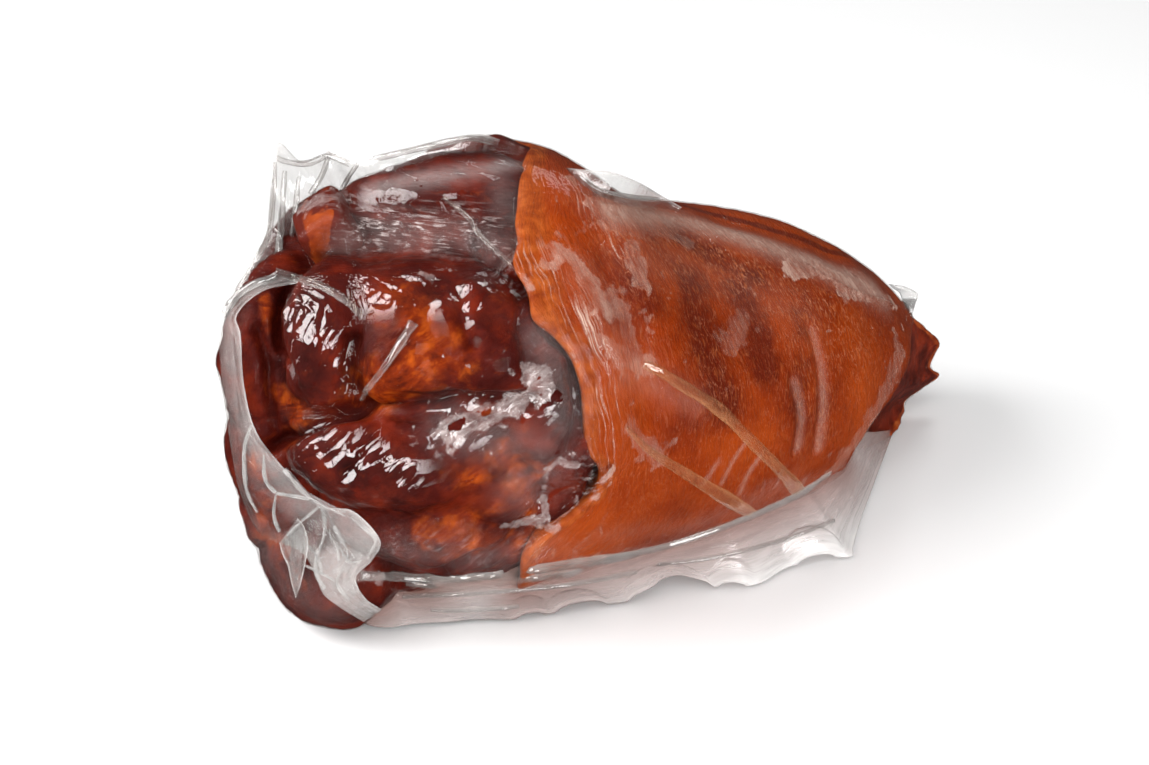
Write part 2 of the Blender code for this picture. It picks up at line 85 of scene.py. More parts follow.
# Steps along the leg of the skin's two edges: angle round the leg from the
# front towards the top, in degrees, and the step
RIM_WANDER = [
    (-180, 0), (-130, 4), (-90, -2), (-75, -10), (-60, -13), (-40, -17), (-25, -21), (-20, -19), (-15, -12),
    (-10, -4), (-5, -1), (0, -1), (5, -6), (10, -5), (20, -4), (30, -5), (35, -8), (40, -13),
    (45, -11), (50, -11), (55, -13), (60, -7), (65, -6), (70, -3), (78, 2), (84, 6), (90, 11),
    (100, 18), (115, 15), (135, 7), (180, 0),
]
END_WANDER = [
    (-180, 0), (-120, -6), (-90, -14), (-75, -22), (-60, -34), (-45, -45), (-30, -48), (-20, -47),
    (-8, -42), (0, -34), (10, -26), (20, -19), (33, -15), (50, -8), (77, 1), (103, 4), (180, 0),
]

# Rings that turn the skin inwards at its rim and at its narrow end: step along
# the leg and how far inside the skin they lie.  The sleeve's own rings start a
# small share past the rim
RIM_RINGS = [(10.0, 14.0), (2.0, 4.5), (0.0, 2.2), (0.3, 0.5)]
END_RINGS = [(0.8, 1.2), (-0.4, 2.4), (-9.0, 4.0)]
SLEEVE_START = 0.015
SLEEVE_RINGS = 23

# Width of the fatty edge beside the rim, for angles round the leg
FATTY_EDGE = [(-30, 4.5), (20, 5.0), (38, 10.0), (60, 11.0), (110, 6.0)]

# Muscles of the cut end: centre, half sizes along, across and outwards,
# the way the muscle runs and the way it faces
MUSCLES = [
    ("core", (-32, 0, 59), (56, 53, 54), (1, 0, 0), (0, 0, 1)),
    ("top", (-38, 2, 103), (33, 18, 19), (0.85, -0.45, 0.12), (-0.2, 0.1, 0.95)),
    ("summit", (-22, 12, 101.5), (22, 17, 18), (0.9, -0.3, -0.05), (0.1, 0.1, 1.0)),
    ("upper", (-54, -17, 90), (34, 16, 17), (0.82, -0.55, 0.05), (-0.4, -0.4, 0.8)),
    ("round", (-73, -8, 84), (22, 15, 17), (-0.2, -0.25, -0.95), (-0.8, -0.3, 0.5)),
    ("slim", (-78, 10, 70), (30, 13, 22), (-0.15, -0.3, -0.95), (-0.9, 0.1, 0.3)),
    ("orange", (-58, -25, 81), (22, 17, 17), (0.4, -0.2, -0.9), (-0.5, -0.6, 0.6)),
    ("lens", (-63, -32, 75), (15, 6, 10), (0.75, -0.5, 0.1), (-0.6, -0.7, 0.4)),
    ("by_rim", (-42, -32, 80), (27, 20, 21), (0.5, -0.1, -0.85), (-0.2, -0.9, 0.4)),
    ("under_rim", (-37, -45, 74), (22, 12, 13), (0.05, -0.35, -0.93), (-0.2, -0.9, 0.35)),
    ("shoulder", (-69, -24, 58), (27, 16, 19), (0.7, -0.6, -0.15), (-0.75, -0.65, 0.1)),
    ("belly", (-58, -26, 41), (31, 19, 21), (0.75, -0.62, -0.2), (-0.5, -0.8, -0.3)),
    ("seam", (-43, -31, 52), (22, 21, 23), (0.3, -0.1, -0.95), (-0.3, -0.95, 0.0)),
    ("oval", (-33, -47, 50), (14, 9, 10), (0.35, -0.2, 0.9), (-0.1, -1.0, 0.0)),
    ("notch", (-32, -50, 61), (15, 11, 10), (0.35, -0.2, 0.9), (-0.1, -1.0, 0.0)),
    ("left", (-79, 5, 48), (27, 18, 22), (-0.1, -0.2, -0.95), (-0.95, 0.0, 0.0)),
    ("left_low", (-83.5, 4.5, 31), (16, 14, 15.5), (-0.1, -0.2, -0.95), (-0.95, 0.0, 0.0)),
    ("heel", (-77, -4, 20), (26, 19, 20.5), (0.3, 0.93, 0.1), (-0.8, -0.4, -0.5)),
    ("heel_inner", (-56, -8, 24), (24, 18, 22), (0.9, -0.3, 0.0), (-0.5, -0.8, -0.3)),
    ("back_top", (-56, 26, 84), (27, 20, 22), (0.8, 0.5, -0.1), (-0.4, 0.6, 0.7)),
    ("back_mid", (-58, 30, 56), (27, 19, 20), (0.6, 0.7, 0.1), (-0.6, 0.75, 0.1)),
    ("back_low", (-56, 26, 28), (30, 21, 24), (0.7, 0.7, 0.0), (-0.5, 0.7, -0.4)),
]

# The knob of fat: centre, sizes and turn in degrees
FAT_BLOCK = ((-64.0, 12.0, 101.0), (15.0, 17.0, 26.0), (12.0, -30.0, -24.0))
FAT_BEVEL = 3.6

# Far lip of the narrow end, from its top to its foot: its place, and the angles
# round the leg of the roots that it runs back to on the near and on the far side
END_LIP = [
    ((116.0, -2.0, 37.0), 78, 84),
    ((120.5, -1.0, 33.0), 60, 100),
    ((125.0, 0.0, 28.4), 45, 115),
    ((130.0, 0.0, 22.6), 33, 135),
    ((127.8, 0.0, 17.8), 22, 155),
    ((127.4, 0.0, 14.4), 12, 170),
    ((131.6, 0.0, 10.6), 3, 185),
    ((125.0, 0.0, 8.0), -5, 200),
    ((118.3, 0.0, 5.2), -14, 215),
    ((117.0, -1.5, 3.0), -22, 230),
    ((113.6, -4.5, 2.2), -30, 245),
    ((108.6, -9.0, 2.0), -38, 258),
    ((100.0, -11.5, 1.6), -48, 272),
    ((93.5, -12.0, 1.6), -60, 285),
]
LIP_THICKNESS = 2.6
RECESS_DEPTH = 5.0
NEAR_ROOT = (-7.0, 6.0)
FAR_ROOT = (102.0, 5.0)
END_CORE = (88.0, -3.0, 19.0)

# The show side is laid out on an upright plane square to the line of sight:
# places on it are millimetres across and up from the middle of the pack
LOOK_AT = Vector((0.0, 0.0, 46.0))
SIGHT_TURN = math.radians(-30)
SIGHT_RISE = math.radians(30)
SIGHT_DISTANCE = 670.0
LENS = 75.0
SENSOR = 36.0

# Seams of the meat: depth, half width and places on the show plane
MEAT_SEAMS = [
    ("valley under the top muscle", -4.5, 4.5, [(-66, 43), (-56, 41), (-43, 40), (-32, 41), (-18, 35)]),
    ("groove in the top muscle", -2.0, 2.0, [(-65, 52), (-59, 50), (-50, 48), (-40, 47)]),
    ("fold behind the valley", -2.5, 1.8, [(-34, 50), (-29, 47), (-26, 41), (-24, 36), (-19, 34)]),
    ("middle seam", -5.4, 2.1, [(-85, -18), (-77, -13), (-67, -9), (-49, -6), (-12, -5)]),
    ("left of the round muscle", -3.4, 1.9, [(-80, 26), (-82, 18), (-82, 9), (-79, 2)]),
    ("slim muscle seam", -2.6, 1.5, [(-89, 15), (-86, 6), (-85, -5), (-84, -13)]),
    ("left of the fat", -3.4, 1.9, [(-62, 12), (-63, 4), (-60, -5)]),
    ("right of the fat", -2.4, 2.0, [(-33, 27), (-32, 18), (-29, 11)]),
    ("seam by the rim", -1.6, 1.7, [(-15, 26), (-14, 15), (-13, 6)]),
    ("shadow under the rim", -1.6, 2.2, [(-8, 15), (-1, 7), (1, -2), (2, -11), (0, -18)]),
    ("left of the oval", -1.6, 1.5, [(-5, -22), (-8, -27), (-10, -34)]),
    ("right of the oval", -1.3, 1.5, [(2, -25), (8, -25), (7, -31), (2, -36), (-1, -41)]),
    ("folds of the shoulder", -2.4, 1.6, [(-64, -26), (-60, -20), (-55, -16)]),
    ("seam above the roll", -2.2, 2.0, [(-38, -54), (-29, -50), (-19, -46), (-15, -39)]),
]
HIDDEN_SEAMS = [
    ("back seam", -3.8, 2.6, [(-88, 170), (-70, 150), (-50, 142), (-34, 140)]),
    ("lower back seam", -3.8, 2.6, [(-86, 200), (-68, 205), (-48, 200), (-32, 196)]),
]

# Creases of the clinging film: height, half width and places
FILM_CREASES = [
    ("stretched film on the shank", 0.8, 0.7, [(65, 32), (76, 26), (87, 22), (95, 18)]),
    ("upper streak", 1.2, 1.0, [(1, 54), (4, 46), (8, 39)]),
    ("second streak", 0.9, 0.8, [(4, 52), (7, 45), (12, 38)]),
    ("long streak", 0.8, 1.1, [(-4, 36), (4, 23), (11, 9), (16, 1)]),
    ("edge under the ridge", 0.6, 0.7, [(8, 49), (24, 48), (40, 46), (56, 41), (66, 37)]),
]

# Rolled and doubled film: height, half width at the start and the end, places
FOLDS = [
    ("upper", 1.1, 1.2, 2.2, [(19, 5.5), (24, 3), (32, -2), (41, -8), (49, -16), (58, -25), (64, -32)]),
    ("lower", 1.0, 0.5, 2.4, [(14, -12), (21, -19), (32, -26), (45, -34), (57, -41)]),
    ("fat_edge", 1.0, 0.4, 1.3, [(-60, -5), (-57, -1), (-52, 6), (-48, 12), (-45, 17)]),
    ("valley_fold", 0.8, 0.4, 0.7, [(-37, 52), (-34, 49.7), (-29, 45), (-26, 41), (-22, 37), (-18, 33)]),
    ("knot_right", 1.1, 1.0, 0.9, [(-84, 31), (-77, 29), (-71, 27), (-64, 23), (-59, 18)]),
    ("roll_one", 1.3, 1.4, 1.2, [(-61, -54), (-40, -54.5), (-21, -53), (-4, -50.5), (13, -48), (24, -46)]),
    ("roll_two", 1.1, 1.2, 1.4, [(-48, -56), (-30, -56), (-12, -54), (6, -51.5), (24, -48), (44, -42)]),
    ("roll_three", 1.0, 0.9, 1.2, [(8, -49), (26, -45), (44, -39), (60, -32), (72, -25)]),
]

# Pleats and rolled edges of the films that stand clear of the ham
PLEATS = [
    ("mouth_one", 0.5, 0.5, 0.9, [(-81, 59.5), (-81.6, 51), (-82.5, 40), (-83, 31)]),
    ("mouth_two", 0.5, 0.4, 0.7, [(-77, 58), (-78.3, 47), (-79.7, 37), (-81.6, 31)]),
    ("mouth_three", 0.5, 0.4, 0.6, [(-83.9, 62), (-84.4, 51), (-85.8, 41), (-89.5, 34)]),
    ("mouth_four", 0.5, 0.4, 0.5, [(-68.5, 64.5), (-70.7, 58), (-74, 52.5)]),
    ("mouth_five", 0.5, 0.4, 0.5, [(-60, 62.3), (-63, 58), (-65.1, 54)]),
    ("mouth_edge", 0.5, 0.6, 0.7, [(-83.4, 63), (-79.5, 61.6), (-74, 61.5), (-69, 63.5), (-63, 61)]),
    ("ribbon", 0.5, 0.7, 0.8, [(-59.5, 62), (-49, 64.3), (-39.1, 66.6), (-29, 68.6), (-23, 67.4)]),
    ("back_one", 0.4, 0.4, 0.5, [(1.5, 58), (7, 54), (15, 52), (24, 51)]),
    ("strap", 0.6, 0.9, 1.2, [(-83, 30), (-91, 26.7), (-96, 22.5), (-98, 18)]),
    ("strip_edge", 0.5, 0.5, 0.6, [
        (-92.8, 10.5), (-92, -1), (-89.2, -12), (-84.7, -19.5), (-79.7, -25.9), (-74, -32), (-64, -37)]),
    ("strip_one", 0.3, 0.12, 0.16, [(-90, -10.5), (-92.3, -18.6), (-91.7, -29.3), (-88.6, -36.5)]),
    ("strip_two", 0.3, 0.1, 0.14, [(-83.6, -31), (-84.1, -37), (-82.5, -42)]),
    ("strip_five", 0.3, 0.1, 0.14, [(-83.6, -31), (-78, -31.8), (-74, -32.6)]),
    ("strip_six", 0.3, 0.1, 0.12, [(-87, -20), (-86.5, -27), (-83.6, -31)]),
    ("strip_three", 0.3, 0.16, 0.2, [
        (-71.1, -34.4), (-69.9, -38), (-70.1, -43), (-72.2, -49), (-72, -54), (-69.8, -58)]),
    ("strip_four", 0.35, 0.18, 0.24, [(-71.5, -34.8), (-76, -38.5), (-80.5, -43)]),
    ("foot_one", 0.3, 0.16, 0.2, [(-66.2, -45.5), (-63, -50), (-59.5, -50)]),
    ("foot_two", 0.3, 0.2, 0.2, [(-65, -52), (-66.5, -56), (-63, -61)]),
    ("foot_three", 0.25, 0.14, 0.14, [(-76, -51), (-71, -53.3), (-67, -55.5)]),
    ("foot_four", 0.25, 0.12, 0.14, [(-74.5, -45.5), (-71.5, -50), (-70.5, -54)]),
    ("foot_five", 0.25, 0.12, 0.14, [(-69.5, -41), (-66.5, -46), (-66, -50)]),
    ("foot_six", 0.25, 0.12, 0.14, [(-67.5, -40), (-64, -46), (-63.5, -50)]),
    ("tab_edge", 0.35, 0.3, 0.3, [(-62.5, -37.5), (-59, -40.5), (-55.5, -44), (-58, -49)]),
    ("flange_one", 0.4, 0.5, 0.6, [(-49, -60), (-26.5, -58.7), (-4, -56.7), (18, -53)]),
    ("flange_two", 0.4, 0.4, 0.5, [(-40.5, -63.7), (-28, -63.4), (-15.3, -62.6)]),
    ("flange_three", 0.4, 0.5, 0.6, [(22.5, -51), (40.7, -48.6), (60.3, -43.5), (73, -38.5)]),
]

# Blisters of the flange: middle, half width, half height and height
BLISTERS = [
    (-49.0, -62.9, 3.5, 3.5, 1.6), (-13.0, -62.9, 5.5, 4.0, 2.2), (0.7, -62.0, 8.0, 4.0, 2.4),
    (25.9, -58.0, 12.5, 7.0, 3.6), (43.8, -53.9, 6.0, 4.5, 2.4), (66.5, -46.3, 8.0, 6.0, 3.0),
]

# Where the film is drawn straight over a hollow: radius, how far it stands
# out from the hollow's floor, and places
BRIDGES = [
    ("valley", 10.0, 2.4, [(-60, 43), (-52, 42), (-43, 41), (-32, 41), (-24, 39), (-17, 36)]),
    ("valley left", 6.0, 2.0, [(-66, 40), (-62, 42), (-58, 42)]),
    ("under the notch", 6.0, 3.4, [(2, -20), (4.3, -23), (5, -26)]),
    ("along the rim", 6.0, 1.4, [
        (-15, 30), (-13, 22), (-9, 16), (-3, 9), (1, 0), (3, -10), (2, -17), (6, -24), (3, -34), (-2, -40)]),
    ("above the rolls", 7.0, 2.6, [(-56, -52), (-40, -52), (-24, -50), (-8, -48)]),
]
HIDDEN_CREASES = [
    ("back film crease", 1.6, 1.3, [(-20, 150), (8, 160), (36, 168), (62, 178)]),
    ("second back crease", 1.4, 1.3, [(0, 196), (26, 190), (52, 200), (80, 205)]),
    ("short back crease", 1.3, 1.2, [(40, 140), (60, 148), (84, 150)]),
]
SKIN_POCKETS = [
    ("front pocket", -1.2, 1.8, [(66, 15), (69, 4), (69, -9), (68, -19)]),
    ("back pocket", -1.0, 1.5, [(61, 1), (63, -9), (62, -19)]),
    ("hollow behind the rim", -1.8, 6.0, [(9, 37), (14, 22), (20, 8), (22, -8)]),
    ("ridge", -2.4, 8.0, [(42, 46.5), (52, 44), (62, 41), (72, 37)]),
]

# Darker and paler clouds of the skin: share, half width and places
DARK_SKIN = [
    ("strip along the ridge", 1.6, 1.3, [(6, 52.5), (24, 50.8), (43, 47.6), (63, 42), (76, 36)]),
    ("by the ridge", 0.8, 7.0, [(30, 40), (38, 36), (50, 30)]),
    ("middle", 1.0, 8.0, [(33, 27), (35, 16), (39, 4), (43, -6)]),
    ("under the ridge", 0.6, 6.0, [(10, 34), (16, 28), (22, 22)]),
    ("right of the middle", 1.0, 7.0, [(46, 26), (50, 16), (53, 4)]),
    ("far right", 0.5, 6.0, [(62, 18), (64, 4), (62, -8)]),
]
PALE_SKIN = [
    ("below the tongue", 0.7, 7.0, [(10, -8), (18, -22), (34, -34)]),
    ("right end", 0.8, 10.0, [(80, 14), (84, 0), (80, -14)]),
    ("belly", 0.6, 8.0, [(-8, -44), (10, -38), (30, -40)]),
]

# Where the painted highlights on the skin's fine wrinkles are plainest, in the same way
SKIN_WRINKLE_GLINTS = [
    ("under the sheen", 0.85, 12.0, [(16, 40), (34, 36), (52, 29), (68, 20), (78, 12)]),
    ("middle", 0.3, 9.0, [(34, 24), (38, 10), (44, -4)]),
    ("right", 0.4, 8.0, [(62, 14), (68, 0), (68, -14)]),
]

# Amber fat on the cut face and at the narrow end, in the same way
FAT_PATCHES = [
    ("centre", 1.0, 7.0, [(-50, 22), (-45, 15), (-41, 8), (-49, 1), (-57, -2)]),
    ("above the lens", 0.6, 5.0, [(-34, 14), (-32, 4)]),
    ("under the knot", 0.9, 1.6, [(-86.5, 24), (-85.5, 15)]),
    ("left", 0.8, 3.6, [(-82, -3), (-77, -10), (-81, -16)]),
    ("beside the lens", 0.6, 3.0, [(-29, -3), (-26, -8)]),
    ("seam", 0.65, 5.5, [(-30, -26), (-21, -20), (-15, -26), (-21, -33), (-29, -36), (-34, -42)]),
    ("belly", 0.7, 5.0, [(-42, -42), (-30, -46), (-16, -45), (-8, -44)]),
    ("left of the oval", 0.7, 3.0, [(-10, -24), (-13, -32), (-12, -42)]),
    ("far left", 0.8, 4.5, [(-90, -24), (-86, -33), (-88, -41)]),
    ("heel", 0.4, 6.0, [(-86, -45), (-80, -52)]),
]

# Milky places of the film, where it bridges a hollow, and painted shine: the
# sheen rows are partly a painted reflection of the back lamp, and the broken
# band and the upper spots are painted highlights; how milky each is, half
# width and places
HAZE_AND_PAINTED_SHINE = [
    ("fold over the valley", 0.40, 0.9, [(-34, 50), (-29, 47), (-26, 41), (-24, 37), (-19, 34.5)]),
    ("bulge streak", 0.50, 1.2, [(-1, 57), (2, 52), (5, 45), (8, 39)]),
    ("knob top", 0.20, 2.2, [(-76, 48.5), (-70, 51), (-64, 52)]),
    ("patch one", 0.32, 3.2, [(-6, 38), (0, 33), (4, 27), (9, 20)]),
    ("patch two", 0.40, 1.6, [(-1, 33), (2, 29)]),
    ("patch three", 0.26, 2.6, [(16, 38), (18, 32), (19, 28)]),
    ("patch four", 0.24, 3.0, [(8, 12), (14, 6), (20, 5)]),
    ("patch five", 0.18, 3.0, [(10, 24), (14, 16), (16, 9)]),
    ("patch six", 0.16, 2.2, [(15, -12), (18, -16), (24, -22)]),
    ("mottled cloud", 0.12, 3.4, [(43, 12), (47, 18)]),
    # The sheen rows: partly the film's milkiness, partly a painted reflection of the back lamp
    ("sheen right", 0.60, 3.6, [(60, 32), (70, 30), (78, 27.5), (88, 22.5)]),
    ("sheen end", 0.45, 2.0, [(74, 25), (80, 24)]),
    ("sheen left", 0.20, 3.4, [(8, 44), (20, 43), (30, 40)]),
    # Painted highlight: lilac-white glints of wrinkled film, laid on as milk
    ("broken band", 0.52, 3.8, [(-36, -13), (-27, -10), (-18, -7), (-9, -1)]),
    ("above the band", 0.40, 2.4, [(-14, 4), (-8, 2)]),
    # Painted highlight: lilac glints on the upper muscles
    ("upper spots", 0.40, 1.4, [(-43, 30), (-40, 29)]),
    ("rim web", 0.50, 2.4, [(-3, -22), (3, -23), (4, -26), (8, -24)]),
    ("round the oval", 0.40, 1.1, [
        (-8, -24), (-4, -22), (4, -23), (7, -27), (4, -34), (-3, -40), (-7, -41), (-8, -33), (-8, -24)]),
    ("lumps", 0.45, 1.8, [(-19, -40), (-13, -38), (-8, -40)]),
    ("rim lumps", 0.40, 1.0, [(1, -18), (4, -21), (6, -20)]),
    ("tongue", 0.30, 1.4, [(-19, 34), (-15, 31), (-12, 26)]),
    ("rolls", 0.26, 2.6, [(-61, -54), (-40, -54.5), (-21, -53), (-4, -50.5), (24, -46), (50, -37)]),
    ("lower right", 0.20, 4.0, [(66, -30), (74, -22), (82, -12), (88, 0), (91, 8)]),
]

# Thin even veils, in the same way; the "sheen" row is partly the film's own milkiness and partly a painted
# reflection of the back lamp along the ridge
VEILS_AND_SHEENS = [
    ("valley", 0.12, 5.0, [(-63, 40), (-56, 42), (-43, 41), (-32, 41), (-20, 37)]),
    ("front pocket", 0.20, 1.7, [(66, 14), (68.5, 4), (69, -8), (68, -18)]),
    ("back pocket", 0.20, 1.5, [(61, 0), (63, -9), (62, -18)]),
    ("slit one", 0.24, 0.8, [(48, -16), (44, -22), (41, -28)]),
    ("slit two", 0.24, 0.9, [(52, -20), (48, -26), (46, -31)]),
    ("slit three", 0.20, 0.9, [(40, -22), (36, -28)]),
    ("slit four", 0.20, 0.9, [(58, -24), (56, -29)]),
    ("slit five", 0.20, 0.9, [(64, -27), (62, -31)]),
    ("over the top muscle", 0.20, 3.0, [(-56, 54), (-42, 57), (-28, 59), (-18, 61)]),
    ("left of the bulge", 0.08, 4.0, [(-22, 60), (-20, 52), (-18, 44)]),
    # Painted sheen: milk that partly stands in for the back lamp's reflection
    ("sheen", 0.40, 5.6, [(10, 47.5), (24, 46), (40, 42.5), (56, 37.5), (70, 32), (84, 25.5)]),
    ("heel", 0.05, 8.0, [(-88, -45), (-80, -56), (-70, -64)]),
    ("under the sheen", 0.05, 9.0, [(16, 36), (32, 32), (48, 26), (62, 20)]),
    ("under the upper fold", 0.08, 4.0, [(14, 2), (24, -1), (34, -6)]),
    ("behind the rim", 0.05, 6.0, [(2, 30), (10, 16), (14, 2)]),
    ("lower belly", 0.06, 5.0, [(-60, -46), (-40, -47), (-20, -48), (0, -46)]),
    ("face right", 0.08, 7.0, [(-34, -12), (-20, -16), (-8, -20), (-14, -30)]),
    ("beside the rim", 0.10, 5.0, [(-10, 12), (-5, 2), (-3, -12)]),
    ("lower veil", 0.04, 4.5, [(-2, -44), (14, -42), (30, -40), (46, -34), (60, -27)]),
]

# Where the clinging film is crumpled: how much, half width and places
CRUMPLED = [
    ("round muscle", 1.0, 8.0, [(-79, 22), (-75, 12), (-70, 2)]),
    ("upper muscles", 0.9, 6.0, [(-57, 27), (-48, 26), (-34, 25), (-24, 21)]),
    ("shoulder", 1.0, 7.5, [(-76, -18), (-66, -23), (-52, -27)]),
    ("right band", 0.9, 5.5, [(-36, -12), (-20, -8), (-6, -2)]),
    ("top muscle", 0.3, 5.0, [(-56, 52), (-40, 54), (-26, 55)]),
    ("oval", 0.7, 4.0, [(-18, -39), (-2, -31)]),
    ("bulge", 0.4, 5.0, [(-12, 52), (-4, 50), (0, 40)]),
]

# Veils of the hidden side: "back sheen" is a painted reflection along the back of the leg, "back haze" a thin
# veil
HIDDEN_VEILS_AND_SHEENS = [
    ("back sheen", 0.26, 5.5, [(-14, 140), (10, 131), (40, 129), (74, 122)]),
    ("back haze", 0.09, 8.0, [(-10, 166), (14, 180), (34, 172)]),
]
HIDDEN_CRUMPLED = [
    ("back of the cut end", 0.8, 12.0, [(-78, 172), (-62, 152), (-46, 142)]),
    ("lower back", 0.7, 10.0, [(-76, 205), (-58, 205), (-42, 200)]),
]

# Where the film is drawn into long fine ridges, in the same way
DRAWN = [
    ("valley", 1.0, 6.2, [(-61, 42.5), (-54, 44), (-43, 43), (-32, 43), (-22, 39)]),
    ("over the knob", 0.5, 2.4, [(-72, 51.5), (-62, 51)]),
    ("lower belly", 0.35, 5.0, [(-50, -46), (-30, -47), (-8, -46)]),
]

# Hair-like strands of drawn film beside the rim of the skin
STRANDS = [
    ("fan", 1.0, 5.0, [(-17, 35), (-10, 33), (-3, 25), (4, 12), (8, 0), (8, -12), (4, -26)]),
    ("beside the fan", 0.4, 5.0, [(-2, 34), (6, 26), (14, 12), (20, 2)]),
    ("below the bulge", 0.9, 2.6, [(1, 54), (5, 45), (12, 36)]),
    ("lower edge", 0.25, 3.0, [(-14, -46), (2, -42), (20, -42)]),
]

# Thin white ridges of drawn film, in the same way
WISPS = [
    ("valley top", 0.5, 0.6, [(-65, 51), (-56, 49.7), (-47, 49), (-38, 48.3)]),
    ("valley one", 0.6, 0.7, [(-62, 46), (-53, 43.8), (-42.5, 43.1), (-33.6, 40.8), (-24.7, 37.1)]),
    ("valley two", 0.5, 0.5, [(-60, 41.6), (-51, 39.7), (-41, 38.6), (-30.6, 36.4)]),
    ("valley foot", 0.7, 0.6, [(-68, 38), (-56, 38), (-45.5, 36.4), (-33.6, 34.2), (-21.7, 34.2)]),
    ("shank line", 0.7, 0.4, [(64.5, 31.8), (76, 25.6), (85.5, 22.5), (94.5, 17)]),
    ("by the rim one", 0.7, 0.4, [(-12.5, 33.7), (-4, 23), (4.3, 9.1), (8.8, -4.9), (10.5, -18.9)]),
    ("by the rim two", 0.6, 0.35, [(-9.7, 33.7), (0.1, 23.1), (7.1, 11.9), (11.6, -2.1)]),
    ("by the rim three", 0.6, 0.4, [(-6.3, 32), (4.3, 20.3), (13.3, 10.5), (18.3, 5.7)]),
    ("by the rim four", 0.5, 0.3, [(-15, 29), (-8, 20), (-1, 9), (4, -3), (6, -14)]),
    ("bulge one", 0.8, 0.4, [(0.5, 54), (3.5, 46), (8.5, 38)]),
    ("bulge two", 0.6, 0.35, [(-3, 58), (1, 50), (4, 43), (9, 35)]),
    ("bulge three", 0.6, 0.35, [(3, 53), (7, 46), (12, 40), (20, 36)]),
    ("lower rim", 0.4, 0.3, [(-16, -42), (-6, -38), (4, -32), (9, -26)]),
]

# Films that stand clear of the ham.  Each column runs from a place on the ham
# to a place on the film's free edge, both on the show plane
FRONT_FLANGE = [
    ((-67, -50.5), (-66, -60)), ((-62, -53), (-61, -66)), ((-56, -54), (-55, -69)), ((-41, -54), (-42, -68)),
    ((-28, -52), (-27, -67)), ((-14, -51), (-12, -66)), ((-4, -49), (7, -63)),
    ((8, -46), (20, -61)), ((22, -43), (26, -58)), ((34, -39), (36, -57.5)),
    ((46, -35), (50, -57)), ((56, -31), (61, -52)), ((61, -29), (74, -49.6)),
    ((63, -28), (77.5, -49)), ((65, -27), (78, -46.5)), ((70, -24), (80, -39)),
    ((74, -20), (84, -28)), ((78, -12.5), (89.5, -13)),
]
MOUTH_WEB = [
    ((-87, 20), (-95, 26)), ((-82, 28), (-90, 34)), ((-80, 36), (-86, 41)),
    ((-77, 43), (-84.5, 51)), ((-74, 48), (-84, 62)), ((-72, 50), (-82.5, 67)),
    ((-70, 52), (-77, 62)), ((-67, 54), (-72, 62)), ((-62, 54), (-68, 65)),
    ((-58, 55), (-62, 61.5)), ((-52, 56), (-57, 62.5)), ((-45, 58), (-49, 65)),
    ((-37, 60), (-38, 67)), ((-29, 62), (-27, 69.5)), ((-22, 64), (-21, 68)),
]
BACK_WEB = [
    ((-4, 60), (-2, 60)), ((1, 53), (3, 59.5)), ((7, 49), (10, 59)),
    ((14, 48), (18, 56)), ((21, 48), (24, 52.5)), ((28, 47), (30, 49)),
]
MOUTH_STRIP = [
    ((-83, 30), (-77, 28)), ((-91, 27.5), (-87.5, 25.5)), ((-98, 20), (-94.5, 19)),
    ((-99.5, 12), (-93.5, 13)), ((-98, -5), (-92.5, -1)), ((-96, -19), (-89, -14)),
    ((-93.5, -31), (-79.5, -26)), ((-89, -41), (-70.5, -34.5)), ((-84, -44.5), (-62, -36)),
    ((-79, -46), (-54.5, -44)), ((-75, -49), (-56.5, -49.5)), ((-72.5, -54), (-61, -54)),
    ((-70, -59.5), (-60.5, -57.5)), ((-64, -64), (-58, -61)), ((-59, -67), (-54, -63.5)),
]
MOUTH_LOBE = [
    ((-82.6, -45.0), (-77.5, -38.0)), ((-81.8, -48.0), (-75.6, -40.5)), ((-80.2, -51.5), (-74.6, -45.0)),
    ((-79.2, -56.0), (-75.6, -51.5)), ((-78.0, -60.3), (-77.0, -57.5)),
]
END_CORNER = [
    ((88, 27.5), (90, 27.2)), ((89, 26.5), (92.4, 26.8)), ((91, 25), (96, 24.8)),
    ((92, 22), (95.4, 22)), ((93, 19), (94.4, 18.5)),
]
SINK = 8.0
WEB_SET_BACK = 4.0

# Looks: colours, and how strongly a film mirrors what it faces, with how fast
# that grows towards its edges
WHITE = (1.0, 1.0, 1.0, 1.0)
FACE_ON_SHINE = 0.06
STRIP_SHINE = (0.004, 8.0)
CLING_TINT = (0.98, 0.97, 0.96, 1.0)
# Milk on the skin and on the meat, which also colours the painted sheens and highlights, and a pinker, darker
# milk that is a painted shade and reflection of the ham on loose film near it
SKIN_MILK_AND_SHEEN, MEAT_MILK_AND_GLINT, HAM_SHADE_AND_REFLECTION = (0.60, 0.41, 0.33, 1.0), (0.60, 0.51, 0.49, 1.0), (0.36, 0.20, 0.17, 1.0)
GREY_MILK, PALE_MILK, WARM_MILK = (0.72, 0.69, 0.67, 1.0), (0.85, 0.83, 0.82, 1.0), (0.70, 0.30, 0.13, 1.0)
CLEAR, WARM, FAINT = (0.90, 0.895, 0.89, 1.0), (1.0, 0.97, 0.94, 1.0), (0.975, 0.97, 0.965, 1.0)
LONGWAYS, CROSSWAYS = (0.15, 1.0, 1.0), (1.0, 0.2, 1.0)

